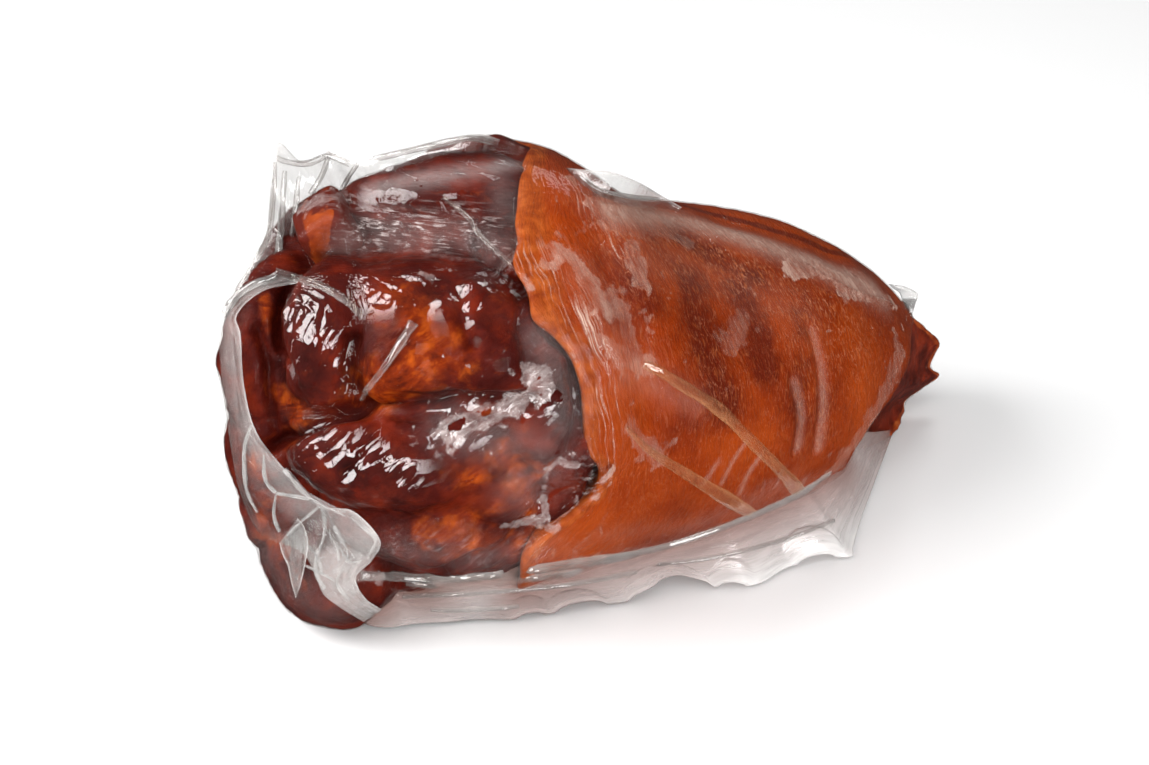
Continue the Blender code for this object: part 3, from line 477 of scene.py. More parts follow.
# Loose films: share of milk between and on the streaks, and more at the edge;
# way and height of the streaks; colour of the milk and tint of the film
LOOSE_FILMS = {
    "clear_film": (0.0, 0.08, 0.25, CROSSWAYS, 0.0010, GREY_MILK, CLEAR),
    "doubled_film": (0.28, 0.42, 0.2, LONGWAYS, 0.0004, PALE_MILK, FAINT),
    "mouth_film": (0.0, 0.02, 0.34, LONGWAYS, 0.0006, GREY_MILK, FAINT, STRIP_SHINE),
    "creased_film": (0.05, 0.16, 0.16, CROSSWAYS, 0.0004, PALE_MILK, FAINT, STRIP_SHINE),
    "rolled_film": (0.04, 0.12, 0.25, CROSSWAYS, 0.0008, GREY_MILK, CLEAR),
    "drawn_film": (0.01, 0.08, 0.35, CROSSWAYS, 0.0008, GREY_MILK, WARM),
    "warm_film": (0.04, 0.13, 0.45, CROSSWAYS, 0.0008, WARM_MILK, WARM),
}

# Which of them a piece is made of: the first row that its name starts with
FILM_OF = [
    ("film_fold_upper", "warm_film"), ("film_fold_lower", "warm_film"),
    ("film_fold_fat_edge", "drawn_film"), ("film_fold_valley_fold", "drawn_film"),
    ("film_fold_knot_right", "drawn_film"), ("film_fold_strip", "creased_film"),
    ("film_fold_foot", "creased_film"), ("film_fold_tab", "creased_film"),
    ("film_fold", "rolled_film"), ("film_mouth_strip", "mouth_film"),
    ("film_mouth_lobe", "mouth_film"), ("film_flange", "doubled_film"), ("film", "clear_film"),
]

# Floor and studio light, in metres and watts.  Each lamp has the way it hangs,
# its distance, width and height, its power, and whether the film mirrors it
FLOOR_SIZE = 4.0
FLOOR_DROP = 0.0004
FLOOR_COLOUR = (0.76, 0.76, 0.76, 1.0)
WORLD_STRENGTH = 0.05
LAMPS_FACE = 0.06
LAMPS = [
    ("soft_box_back", (0.57, 0.50, 0.66), 1.2, (0.4, 0.3), 3.5, True),
    ("soft_box_left", (-0.80, 0.20, 0.52), 1.1, (1.0, 0.9), 25.0, True),
    ("soft_box_front", (-0.11, -0.95, 0.26), 1.2, (0.9, 0.5), 14.0, True),
    ("fill", (-0.15, -0.55, 0.82), 1.3, (1.6, 1.2), 13.3, False),
]


# Making shapes


def link_mesh(name, mesh):
    thing = bpy.data.objects.new(name, mesh)
    bpy.context.scene.collection.objects.link(thing)
    return thing


def link_shape(name, shape):
    """Turn a finished bmesh into an object."""
    mesh = bpy.data.meshes.new(name)
    shape.to_mesh(mesh)
    shape.free()
    return link_mesh(name, mesh)


def merged(things):
    """One bmesh with the meshes of all the things."""
    shape = bmesh.new()
    for thing in things:
        shape.from_mesh(thing.data)
    return shape


def drop(thing):
    bpy.data.objects.remove(thing, do_unlink=True)


def bake(thing):
    """Replace an object by the mesh that its modifiers make."""
    bpy.context.view_layer.update()
    graph = bpy.context.evaluated_depsgraph_get()
    mesh = bpy.data.meshes.new_from_object(thing.evaluated_get(graph))
    mesh.transform(thing.matrix_world)
    name = thing.name
    drop(thing)
    return link_mesh(name, mesh)


def rounded(thing, levels):
    """Round a coarse body off."""
    smooth = thing.modifiers.new("round", "SUBSURF")
    smooth.levels = smooth.render_levels = levels
    return bake(thing)


def points_of(thing, what="co"):
    """The points of a piece, or their normals."""
    values = np.zeros(len(thing.data.vertices) * 3)
    thing.data.vertices.foreach_get(what, values)
    return values.reshape(-1, 3)


def set_points(thing, points):
    thing.data.vertices.foreach_set("co", np.ascontiguousarray(points, dtype=float).reshape(-1))
    thing.data.update()


def raise_by(thing, heights):
    set_points(thing, points_of(thing) + points_of(thing, "normal") * heights[:, None])


def paint(thing, name, values):
    """Give each point of a piece a number or a vector that the materials use."""
    values = np.ascontiguousarray(values, dtype=np.float32)
    kind, key = ("FLOAT_VECTOR", "vector") if values.ndim == 2 else ("FLOAT", "value")
    layer = thing.data.attributes.new(name, kind, "POINT")
    layer.data.foreach_set(key, values.reshape(-1))


def to_frame(thing):
    """Move a piece from the layout's millimetres to the frame's metres."""
    points = points_of(thing)
    points[:, 2] = np.maximum(points[:, 2], 0.0)
    set_points(thing, (points - np.array(BASE_MIDDLE)) * MM)
    thing.data.shade_smooth()
    return thing


def loft(name, rings, levels):
    """A closed rounded solid through unlike rings."""
    shape = bmesh.new()
    loops = [[shape.verts.new(p) for p in ring] for ring in rings]
    size = len(rings[0])
    for near, far in zip(loops, loops[1:]):
        for k in range(size):
            after = (k + 1) % size
            shape.faces.new((near[k], near[after], far[after], far[k]))
    for loop in (loops[0], loops[-1]):
        hub = sum((v.co for v in loop), Vector()) / size
        centre = shape.verts.new(hub)
        for k in range(size):
            shape.faces.new((loop[k], loop[(k + 1) % size], centre))
    bmesh.ops.recalc_face_normals(shape, faces=shape.faces)
    return rounded(link_shape(name, shape), levels)


def melt(shape, name, voxel, passes):
    """Turn overlapping bodies into one skin and soften its valleys."""
    blob = link_shape(name, shape)
    remesh = blob.modifiers.new("skin over", "REMESH")
    remesh.mode = "VOXEL"
    remesh.voxel_size = voxel
    soften = blob.modifiers.new("soften", "SMOOTH")
    soften.factor = 0.5
    soften.iterations = passes
    return bake(blob)


def smooth_path(points, steps):
    """A rounded path of evenly spread points through the given ones."""
    points = np.array([tuple(p) for p in points], float)
    if len(points) == 2:
        share = np.linspace(0, 1, steps)[:, None]
        return points[0] * (1 - share) + points[1] * share
    padded = np.vstack([2 * points[0] - points[1], points, 2 * points[-1] - points[-2]])
    path = []
    for step in range(steps):
        place = step / (steps - 1) * (len(points) - 1)
        k = min(int(place), len(points) - 2)
        t = place - k
        a, b, c, d = padded[k:k + 4]
        path.append(0.5 * (2 * b + (c - a) * t + (2 * a - 5 * b + 4 * c - d) * t ** 2
                           + (3 * b - a - 3 * c + d) * t ** 3))
    return np.array(path)


def ripple(points, size, seed, octaves=3):
    """Soft noise of about -1 to 1 at each point; size is its spacing in mm."""
    offset = Vector((seed * 17.3, seed * 5.1, seed * 9.7))
    return np.array([
        noise.fractal(Vector(p) / size + offset, 1.0, 2.0, octaves) for p in points])


# The line of sight, and paths that are dropped on the ham


class Sight:
    """The line of sight and the show plane that faces it."""

    def __init__(self):
        turn, rise = SIGHT_TURN, SIGHT_RISE
        self.across = Vector((math.cos(turn), math.sin(turn), 0.0))
        self.back = Vector((
            math.sin(turn) * math.cos(rise), -math.cos(turn) * math.cos(rise), math.sin(rise)))
        self.up = self.back.cross(self.across)
        self.eye = LOOK_AT + self.back * SIGHT_DISTANCE

    def ray(self, across, up):
        target = LOOK_AT + self.across * across + self.up * up
        return (target - self.eye).normalized()

    def hit(self, tree, across, up):
        """Where a line of sight meets the pieces of a tree, and the normal there."""
        return tree.ray_cast(self.eye, self.ray(across, up))[:2]

    def at_depth(self, across, up, depth):
        """The point seen at a place on the show plane, so far in front of it."""
        way = self.ray(across, up)
        length = (SIGHT_DISTANCE - depth) / -way.dot(self.back)
        return self.eye + way * length

    def on_table(self, across, up, height):
        way = self.ray(across, up)
        return self.eye + way * ((height - self.eye.z) / way.z)

    def place(self, points):
        """Where points are seen on the show plane, across and up, and their depth."""
        off = points - np.array(LOOK_AT)
        depth = off @ np.array(self.back)
        nearer = SIGHT_DISTANCE / (SIGHT_DISTANCE - depth)
        return off @ np.array(self.across) * nearer, off @ np.array(self.up) * nearer, depth


sight = Sight()


def tree_of(*things):
    shape = merged(things)
    tree = BVHTree.FromBMesh(shape)
    shape.free()
    return tree


def show_path(tree, places):
    """Drop places of the show plane on the ham, along the line of sight."""
    hits = [sight.hit(tree, *place)[0] for place in smooth_path(places, 5 * len(places))]
    return [np.array(hit) for hit in hits if hit is not None]


def hidden_path(tree, places):
    """Drop places given along and round the leg on the ham, from outside."""
    path = []
    for x, degrees in smooth_path(places, 5 * len(places)):
        angle = math.radians(degrees)
        out = Vector((0.0, -math.cos(angle), math.sin(angle)))
        middle = Vector((x, 0.0, shank_section(x)[1] * 0.9))
        hit = tree.ray_cast(middle + out * 200, -out)[0]
        if hit is not None:
            path.append(np.array(hit))
    return path


def distance_to_path(points, path):
    """How far each point lies from a path of short straight pieces."""
    nearest = np.full(len(points), 1e9)
    for start, end in zip(path, path[1:]):
        run = end - start
        share = np.clip((points - start) @ run / max(run @ run, 1e-9), 0, 1)
        gap = np.linalg.norm(points - start - share[:, None] * run, axis=1)
        nearest = np.minimum(nearest, gap)
    return nearest


def bands(points, tree, rows, hidden_rows):
    """For each row, its number times a soft band along its path, at each point."""
    paths = [(row, show_path) for row in rows] + [(row, hidden_path) for row in hidden_rows]
    return [
        share * np.exp(-(distance_to_path(points, on_ham(tree, places)) / width) ** 2)
        for (_, share, width, places), on_ham in paths]


def relief(points, tree, rows, hidden_rows=()):
    """The sum of the rows' bands at each point."""
    return sum(bands(points, tree, rows, hidden_rows))


def cover(points, tree, rows, hidden_rows=()):
    """The strongest of the rows' bands at each point."""
    return np.max(bands(points, tree, rows, hidden_rows), axis=0)


def patches(points, tree, rows):
    """How far inside a patch each point lies, and how milky that patch is."""
    inside = np.zeros(len(points))
    milk = np.zeros(len(points))
    weights = np.full(len(points), 1e-9)
    wobble = 1 + 0.8 * ripple(points, 5.0, seed=12) + 0.5 * ripple(points, 2.0, seed=13)
    for _, share, width, places in rows:
        gap = distance_to_path(points, show_path(tree, places))
        shape = np.exp(-(gap / width * wobble) ** 2)
        inside = np.maximum(inside, shape)
        milk += share * shape ** 4
        weights += shape ** 4
    return inside, milk / weights


# Places on the leg


def shank_section(x):
    """Half width, half height and lean of the skin at a place along the leg."""
    places, *sizes = zip(*SHANK)
    return [float(np.interp(x, places, size)) for size in sizes]


def skin_point(x, degrees, shrink):
    """A point of the skin's surface, or so far inside it."""
    angle = math.radians(degrees)
    wide, high, lean = shank_section(x)
    return (
        x,
        -(wide - shrink) * math.cos(angle) - lean,
        high - FLAT_DEPTH + (high - shrink) * math.sin(angle),
    )


def skin_ring(x_at, shrink):
    """One closed ring of the sleeve; x_at gives its place for each angle."""
    turns = [360 * step / RING_POINTS for step in range(RING_POINTS)]
    turns = [turn - 360 if turn > 180 else turn for turn in turns]
    return [skin_point(x_at(turn), turn, shrink) for turn in turns]


def rim_place(degrees):
    return RIM_X + float(np.interp(degrees, *zip(*RIM_WANDER)))


def end_place(degrees):
    return SHANK[-1][0] + float(np.interp(degrees, *zip(*END_WANDER)))


def around(points):
    """Angle round the leg of each point, from the front over the top, in degrees.

    It runs from -90 to 270, so that its jump lies under the ham."""
    high = np.interp(points[:, 0], [row[0] for row in SHANK], [row[2] for row in SHANK])
    angle = np.degrees(np.arctan2(points[:, 2] - high + FLAT_DEPTH, -points[:, 1]))
    return np.where(angle < -90, angle + 360, angle)


def rim_turn(points):
    """The same angle from -180 to 180, as in the table of the rim."""
    angle = around(points)
    return np.where(angle > 180, angle - 360, angle)


def rim_gap(points):
    """How far each point lies past the rim of the skin, along the leg."""
    return points[:, 0] - RIM_X - np.interp(rim_turn(points), *zip(*RIM_WANDER))


def soft_rim(degrees):
    """The rim's place without its notches, for the grain beside it."""
    turns = np.arange(-180, 181, 3.0)
    wander = np.pad(np.interp(turns, *zip(*RIM_WANDER)), 8, mode="edge")
    kernel = np.hanning(19)[1:-1] / np.hanning(19).sum()
    return RIM_X + np.interp(degrees, turns, np.convolve(wander, kernel, mode="valid"))


def leg_grain(points):
    """Place along the leg and round it, in mm; near the rim it follows the rim."""
    gap = points[:, 0] - soft_rim(rim_turn(points))
    near = np.clip(1 - gap / 30, 0, 1)
    along = gap * near + (points[:, 0] - RIM_X) * (1 - near)
    along += 1.6 * ripple(points, 22.0, seed=15) + 0.5 * ripple(points, 8.0, seed=16)
    return np.stack([along, np.radians(around(points)) * 48.0, np.zeros(len(points))], axis=1)


def cut_grain(points):
    """Places on the cut meat, in mm, with the first one along its fibres."""
    level, rise, depth = sight.place(points)
    turn = np.interp(rise, [20.0, 36.0], [38.0, -6.0])
    steep = np.interp(level, [-64, -58], [1, 0]) * np.interp(rise, [-10, -6, 26, 30], [0, 1, 1, 0])
    turn = np.radians(turn + 26.0 * steep)
    return np.stack([
        level * np.cos(turn) + rise * np.sin(turn),
        rise * np.cos(turn) - level * np.sin(turn),
        depth], axis=1)


# Meat, skin, fat and sinew


def add_muscle(shape, centre, half_sizes, along, out):
    """A stretched ball whose X runs along the muscle and whose Z faces outwards."""
    x_axis = Vector(along).normalized()
    y_axis = Vector(out).cross(x_axis).normalized()
    turned = Matrix((x_axis, y_axis, x_axis.cross(y_axis))).transposed().to_4x4()
    verts = bmesh.ops.create_uvsphere(shape, u_segments=64, v_segments=40, radius=1.0)["verts"]
    bmesh.ops.scale(shape, vec=Vector(half_sizes), verts=verts)
    bmesh.ops.transform(shape, matrix=turned, verts=verts)
    bmesh.ops.translate(shape, vec=Vector(centre), verts=verts)


def make_meat():
    shape = bmesh.new()
    for _, *muscle in MUSCLES:
        add_muscle(shape, *muscle)
    meat = melt(shape, "meat", MEAT_VOXEL, 3)
    tree = tree_of(meat)
    points = points_of(meat)
    heights = relief(points, tree, MEAT_SEAMS, HIDDEN_SEAMS)
    heights += 1.4 * ripple(points, 15.0, seed=1)
    heights += 0.5 * ripple(cut_grain(points) * (0.5, 1, 1), 5.0, seed=2)
    raise_by(meat, heights)
    points = points_of(meat)
    paint(meat, "fat", cover(points, tree, FAT_PATCHES))
    paint(meat, "grain", cut_grain(points))
    return meat


def skin_sleeve():
    """The skin: closed inside the meat, and with a lip round the narrow end."""
    rings = [skin_ring(lambda a: rim_place(a) + step, inside) for step, inside in RIM_RINGS]
    for share in np.linspace(SLEEVE_START, 1.0, SLEEVE_RINGS):
        rings.append(skin_ring(lambda a: rim_place(a) * (1 - share) + end_place(a) * share, 0.0))
    rings += [skin_ring(lambda a: end_place(a) + step, inside) for step, inside in END_RINGS]
    return loft("rind", rings, 3)


def make_rind():
    rind = skin_sleeve()
    tree = tree_of(rind)
    points = points_of(rind)
    leg = leg_grain(points)
    heights = relief(points, tree, SKIN_POCKETS) + 0.35 * ripple(points, 14.0, seed=3)
    heights += 0.07 * ripple(leg * (1.0, 0.22, 1.0), 2.0, seed=8, octaves=2)
    raise_by(rind, heights)
    wide = np.interp(around(points), *zip(*FATTY_EDGE))
    paint(rind, "edge", np.clip(1.2 - rim_gap(points) / wide, 0, 1))
    paint(rind, "dark", cover(points, tree, DARK_SKIN))
    paint(rind, "pale", cover(points, tree, PALE_SKIN))
    # Where the painted highlights on the fine wrinkles show most
    paint(rind, "lined", 0.25 + cover(points, tree, SKIN_WRINKLE_GLINTS))
    paint(rind, "grain", leg)
    return rind


def fat_block():
    """The squared knob of fat at the top left of the cut end."""
    centre, sizes, turn = FAT_BLOCK
    shape = bmesh.new()
    bmesh.ops.create_cube(shape, size=1.0)
    bmesh.ops.scale(shape, vec=Vector(sizes), verts=shape.verts)
    block = link_shape("fat_knob", shape)
    block.location = centre
    block.rotation_euler = [math.radians(a) for a in turn]
    edge = block.modifiers.new("edge", "BEVEL")
    edge.width = FAT_BEVEL
    edge.segments = 3
    return rounded(block, 2)


def make_fat():
    """The knob, with its sides and its top painted dark."""
    fat = fat_block()
    raise_by(fat, 0.5 * ripple(points_of(fat), 7.0, seed=9))
    level, rise, _ = sight.place(points_of(fat))
    right = np.clip((level - np.interp(rise, [37, 48], [-70, -68])) / 1.5, 0, 1)
    left = np.clip((np.interp(rise, [37, 48], [-73, -76]) - level) / 1.5, 0, 1)
    top = np.clip((rise - np.interp(level, [-77, -66], [45.5, 48.0])) / 1.5, 0, 0.7)
    paint(fat, "dark", np.max([right, left, top], axis=0))
    return fat


def end_flap(slices):
    """The slanted cut of the narrow end: a hollow before a raised far lip."""
    places, near, far = zip(*END_LIP)
    spread = np.linspace(0, len(END_LIP) - 1, slices)
    near = np.interp(spread, range(len(END_LIP)), near)
    far = np.interp(spread, range(len(END_LIP)), far)
    core, away = Vector(END_CORE), -sight.back
    rings = []
    for lip, near_turn, far_turn in zip(smooth_path(places, slices), near, far):
        lip = Vector(lip)
        root = Vector(skin_point(end_place(near_turn) + NEAR_ROOT[0], near_turn, NEAR_ROOT[1]))
        back = Vector(skin_point(FAR_ROOT[0], far_turn, FAR_ROOT[1]))
        thick = away * LIP_THICKNESS
        rings.append([
            core, root, root.lerp(lip, 0.5) + away * RECESS_DEPTH,
            root.lerp(lip, 0.85) + away * RECESS_DEPTH * 0.6, lip, lip + thick * 0.3, lip + thick,
            back.lerp(lip, 0.6) + thick * 0.8, back,
        ])
    return loft("flap", rings, 2)


def make_sinew():
    """The cut of the narrow end, with its lip and its far side painted amber."""
    flap = end_flap(slices=70)
    sinew = melt(merged([flap]), "sinew_end", SINEW_VOXEL, 2)
    drop(flap)
    raise_by(sinew, 0.4 * ripple(points_of(sinew), 6.0, seed=4))
    points = points_of(sinew)
    lip = smooth_path([row[0] for row in END_LIP], 60)
    wide = 1.5 + 0.9 * ripple(points, 7.0, seed=14)
    edge = np.exp(-(distance_to_path(points, lip) / np.maximum(wide, 0.4)) ** 2)
    outside = np.clip(-3.0 * points_of(sinew, "normal") @ np.array(sight.back) + 0.6, 0, 1)
    paint(sinew, "fat", np.maximum(edge, outside))
    return sinew


# The clinging film


def make_bridge(tree, radius, lift, places):
    """A chain of balls that fills a hollow up to the film that spans it."""
    shape = bmesh.new()
    for point in show_path(tree, places):
        middle = Vector(point) + sight.back * (lift - radius)
        ball = bmesh.ops.create_icosphere(shape, subdivisions=3, radius=radius)
        bmesh.ops.translate(shape, vec=middle, verts=ball["verts"])
    return link_shape("bridge", shape)


def film_body(contents, tree):
    """The contents' own form with its hollows bridged and its creases raised."""
    bridges = [make_bridge(tree, *chain) for _, *chain in BRIDGES]
    film = melt(merged([*contents, *bridges]), "film", FILM_VOXEL, 12)
    for chain in bridges:
        drop(chain)
    points = points_of(film)
    creases = relief(points, tree, FILM_CREASES, HIDDEN_CREASES)
    raise_by(film, FILM_GAP + creases + 0.7 * relief(points, tree, WISPS))
    guide = link_shape("guide", merged(contents))
    hold = film.modifiers.new("outside", "SHRINKWRAP")
    hold.target = guide
    hold.wrap_method = "NEAREST_SURFACEPOINT"
    hold.wrap_mode = "OUTSIDE"
    hold.offset = FILM_GAP * 0.6
    film = bake(film)
    drop(guide)
    return film


def make_film(contents, tree):
    """The clinging film, crumpled over the meat and drawn over the hollows."""
    film = film_body(contents, tree)
    points = points_of(film)
    gap = np.array([tree.find_nearest(Vector(p))[3] for p in points])
    taut = np.clip((gap - 0.9) / 1.6, 0, 1)
    on_meat = np.clip(0.5 - rim_gap(points) / 6, 0, 1)
    cut, leg = cut_grain(points), leg_grain(points)
    crumpled = 0.25 + cover(points, tree, CRUMPLED, HIDDEN_CRUMPLED)
    drawn = cover(points, tree, DRAWN)
    crinkle = ripple(cut * (0.36, 1.0, 1.0), 3.0, seed=5, octaves=4)
    creased = 0.5 - 2.0 * np.abs(ripple(cut * (0.3, 1.0, 1.0), 7.0, seed=6))
    ridged = 0.4 - 2.0 * np.abs(ripple(cut * (0.10, 1.0, 1.0), 3.2, seed=21, octaves=2))
    crossed = ripple(leg * (1.0, 0.25, 1.0), 2.6, seed=7)
    heights = on_meat * (1 - 0.6 * taut) * crumpled * (0.75 * crinkle + 0.35 * creased)
    heights += 0.55 * drawn * ridged
    heights += (1 - on_meat) * (0.07 + 0.4 * (crumpled - 0.25)) * crossed
    raise_by(film, heights)
    paint(film, "grain", np.where(on_meat[:, None] > 0.5, cut * (0.3, 1.0, 1.0), leg * (1.0, 0.12, 1.0)))
    # Milky patches, among them painted sheens and painted highlights
    inside, milk = patches(points, tree, HAZE_AND_PAINTED_SHINE)
    paint(film, "haze", inside)
    paint(film, "milk", milk)
    # The veils, with the painted sheens that stand in for reflections among them
    paint(film, "veil", cover(points, tree, VEILS_AND_SHEENS, HIDDEN_VEILS_AND_SHEENS))
    paint(film, "crumpled", crumpled * on_meat)
    paint(film, "drawn", drawn)
    paint(film, "strands", cover(points, tree, STRANDS))
    paint(film, "wisps", cover(points, tree, WISPS))
    return film


# Films that stand clear, and rolls of film


def sheet(name, rows, edge):
    """A thin closed film from a grid of points; edge gives how milky it is there."""
    shape = bmesh.new()
    grid = [[shape.verts.new(p) for p in row] for row in rows]
    for near, far in zip(grid, grid[1:]):
        for k in range(len(near) - 1):
            shape.faces.new((near[k], near[k + 1], far[k + 1], far[k]))
    bmesh.ops.recalc_face_normals(shape, faces=shape.faces)
    film = link_shape(name, shape)
    long_way = np.cumsum([0.0] + [(b - a).length for a, b in zip(rows[0], rows[0][1:])])
    short_way = np.cumsum([0.0] + [(b[0] - a[0]).length for a, b in zip(rows, rows[1:])])
    paint(film, "grain", [(x, y, 0.0) for y in short_way for x in long_way])
    last_row, last_column = len(rows) - 1, len(rows[0]) - 1
    paint(film, "edge", [
        edge(r / last_row, c / last_column) for r in range(len(rows)) for c in range(len(rows[0]))])
    plate = film.modifiers.new("thickness", "SOLIDIFY")
    plate.thickness = SHEET_THICKNESS
    plate.offset = 0.0
    return bake(film)


def roll_spine(tree, places):
    """Softened points, and normals, of the ham under a path of the show plane."""
    hits = [sight.hit(tree, *place) for place in smooth_path(places, 12 * len(places))]
    spine, outward = zip(*[(np.array(p), np.array(n)) for p, n in hits if p is not None])
    padded = np.pad(np.array(spine), ((2, 2), (0, 0)), mode="edge")
    soft = np.ones(5) / 5
    return np.stack([np.convolve(padded[:, k], soft, mode="valid") for k in range(3)], axis=1), outward


def fold(tree, name, height, start_width, end_width, places):
    """A flattened roll of film along a path on the ham."""
    spine, outward = roll_spine(tree, places)
    grid = []
    for k, point in enumerate(spine):
        before, after = spine[max(k - 1, 0)], spine[min(k + 1, len(spine) - 1)]
        run = Vector(after - before).normalized()
        up = Vector(np.mean(outward[max(k - 4, 0):k + 5], axis=0)).normalized()
        side = run.cross(up).normalized()
        share = k / (len(spine) - 1)
        ends = min(1.0, 6 * share, 6 * (1 - share))
        wide = start_width + (end_width - start_width) * share
        wide *= 1.0 + 0.25 * noise.noise(Vector((k * 0.11, height * 7, 0.0)))
        row = []
        for r in range(ROLL_RIBS):
            u = 2 * r / (ROLL_RIBS - 1) - 1
            rib = noise.noise(Vector((k * 0.05, u * 2.4 + height * 11, 2.0)))
            lift = FILM_GAP + height * ends * (1 - abs(u) ** 3) * (1.0 + 0.5 * rib)
            lift -= ROLL_BITE * abs(u) ** 6
            row.append(Vector(point) + side * (u * wide) + up * lift)
        grid.append(row)
    return sheet("film_fold_" + name, grid, lambda along, across: abs(2 * across - 1) ** 6)


def film_columns(columns, count):
    """Even columns between the given ones, as root and edge places."""
    return [smooth_path(ends, count) for ends in zip(*columns)]


def depths_at(tree, places, spread):
    """Depth of the ham at places, smoothed; misses take their neighbour's."""
    hits = [sight.hit(tree, *place)[0] for place in places]
    known = [k for k, hit in enumerate(hits) if hit is not None]
    depths = [(hits[k] - LOOK_AT).dot(sight.back) for k in known]
    padded = np.pad(np.interp(range(len(hits)), known, depths), spread, mode="edge")
    kernel = np.ones(2 * spread + 1) / (2 * spread + 1)
    return np.convolve(padded, kernel, mode="valid")


def make_flange(tree):
    """The two joined films that lie on the table along the front."""
    roots, edges = film_columns(FRONT_FLANGE, count=220)
    depths = depths_at(tree, roots, 8)
    grid = [[] for _ in range(FLANGE_ROWS)]
    for k, ((ra, ru), (ea, eu)) in enumerate(zip(roots, edges)):
        root = sight.at_depth(ra, ru, depths[k] - SINK)
        jag = 0.5 * noise.noise(Vector((k * 0.09, 3.0, 0.0)))
        edge = sight.on_table(ea, eu + jag, 0.2)
        for r, row in enumerate(grid):
            share = r / (FLANGE_ROWS - 1)
            p = root.lerp(edge, share)
            wave = noise.fractal(Vector((k * 0.045, share * 1.2, 1.0)), 1.0, 2.0, 3)
            fine = noise.noise(Vector((k * 0.2, share * 5.0, 4.0)))
            swell = 4.0 * share * (1 - share) + 0.35 * share
            lift = 0.6 + swell * (1.2 * wave + 0.8) + 0.15 * fine
            p.z = max(p.z * (1 - share * 0.25), 0.3) + max(lift, 0) * 0.6
            a, u = ra + (ea - ra) * share, ru + (eu - ru) * share
            for middle, level, wide, high, height in BLISTERS:
                inside = 1 - ((a - middle) / wide) ** 2 - ((u - level) / high) ** 2
                p.z += height * math.sqrt(max(inside, 0.0))
            row.append(p)
    flange = sheet("film_flange", grid, lambda out, along: out ** 24)
    gap = np.array([tree.find_nearest(Vector(p))[3] for p in points_of(flange)])
    # Painted shade and reflection of the ham: how near each point of the flange lies to it
    paint(flange, "near", np.clip(1 - gap / FLANGE_HAM_SHADE_REACH, 0, 1))
    return flange


def make_web(name, columns, tree, count, rows, seed):
    """A film stretched from the ham to a free edge, pleated along its run."""
    roots, edges = film_columns(columns, count)
    depths = depths_at(tree, roots, 4)
    grid = [[] for _ in range(rows)]
    for k, (root, edge) in enumerate(zip(roots, edges)):
        for r, row in enumerate(grid):
            share = r / (rows - 1)
            pleat = noise.fractal(Vector((k * 0.06 + seed, share * 0.9, seed)), 1.0, 2.0, 2)
            depth = depths[k] - SINK * (1 - share) ** 2 - WEB_SET_BACK * share
            depth += 1.6 * pleat * min(1.0, 3 * share)
            row.append(sight.at_depth(*(root + (edge - root) * share), depth))
    return sheet(name, grid, lambda out, along: out ** 12)


def strip_milk(out, along):
    """How milky the folded mouth is: clear on the left, milky where it doubles up."""
    window = math.exp(-((out - 0.25) / 0.4) ** 2 - ((along - 0.48) / 0.17) ** 2)
    foot = min(max((along - 0.6) / 0.1, 0.0), 1.0)
    body = 0.10 + 0.28 * out + 0.30 * foot
    return max(body * (1 - window), 0.9 * out ** 14)


def lobe_milk(out, along):
    return max(0.2, 0.9 * abs(2 * out - 1) ** 10)


def make_strip(name, columns, tree, count, milk):
    """The bag's mouth, folded flat against the cut end."""
    inner, outer = film_columns(columns, count)
    grid = []
    for share in [r / (STRIP_ROWS - 1) for r in range(STRIP_ROWS)]:
        places = inner + (outer - inner) * share
        depths = depths_at(tree, places, 3)
        row = []
        for k, (across, up) in enumerate(places):
            pleat = noise.fractal(Vector((k * 0.03, share * 4.5 + k * 0.012, 8.0)), 1.0, 2.0, 3)
            crease = noise.noise(Vector((k * 0.018, share * 5.0 - k * 0.02, 3.0)))
            lift = 0.7 + 2.4 * share ** 2 + (0.5 + 1.2 * share) * pleat
            lift += (0.4 + 0.8 * share) * (0.4 - 2.0 * abs(crease))
            row.append(sight.at_depth(across, up, depths[k] + lift))
        grid.append(row)
    return sheet(name, grid, milk)


# Materials


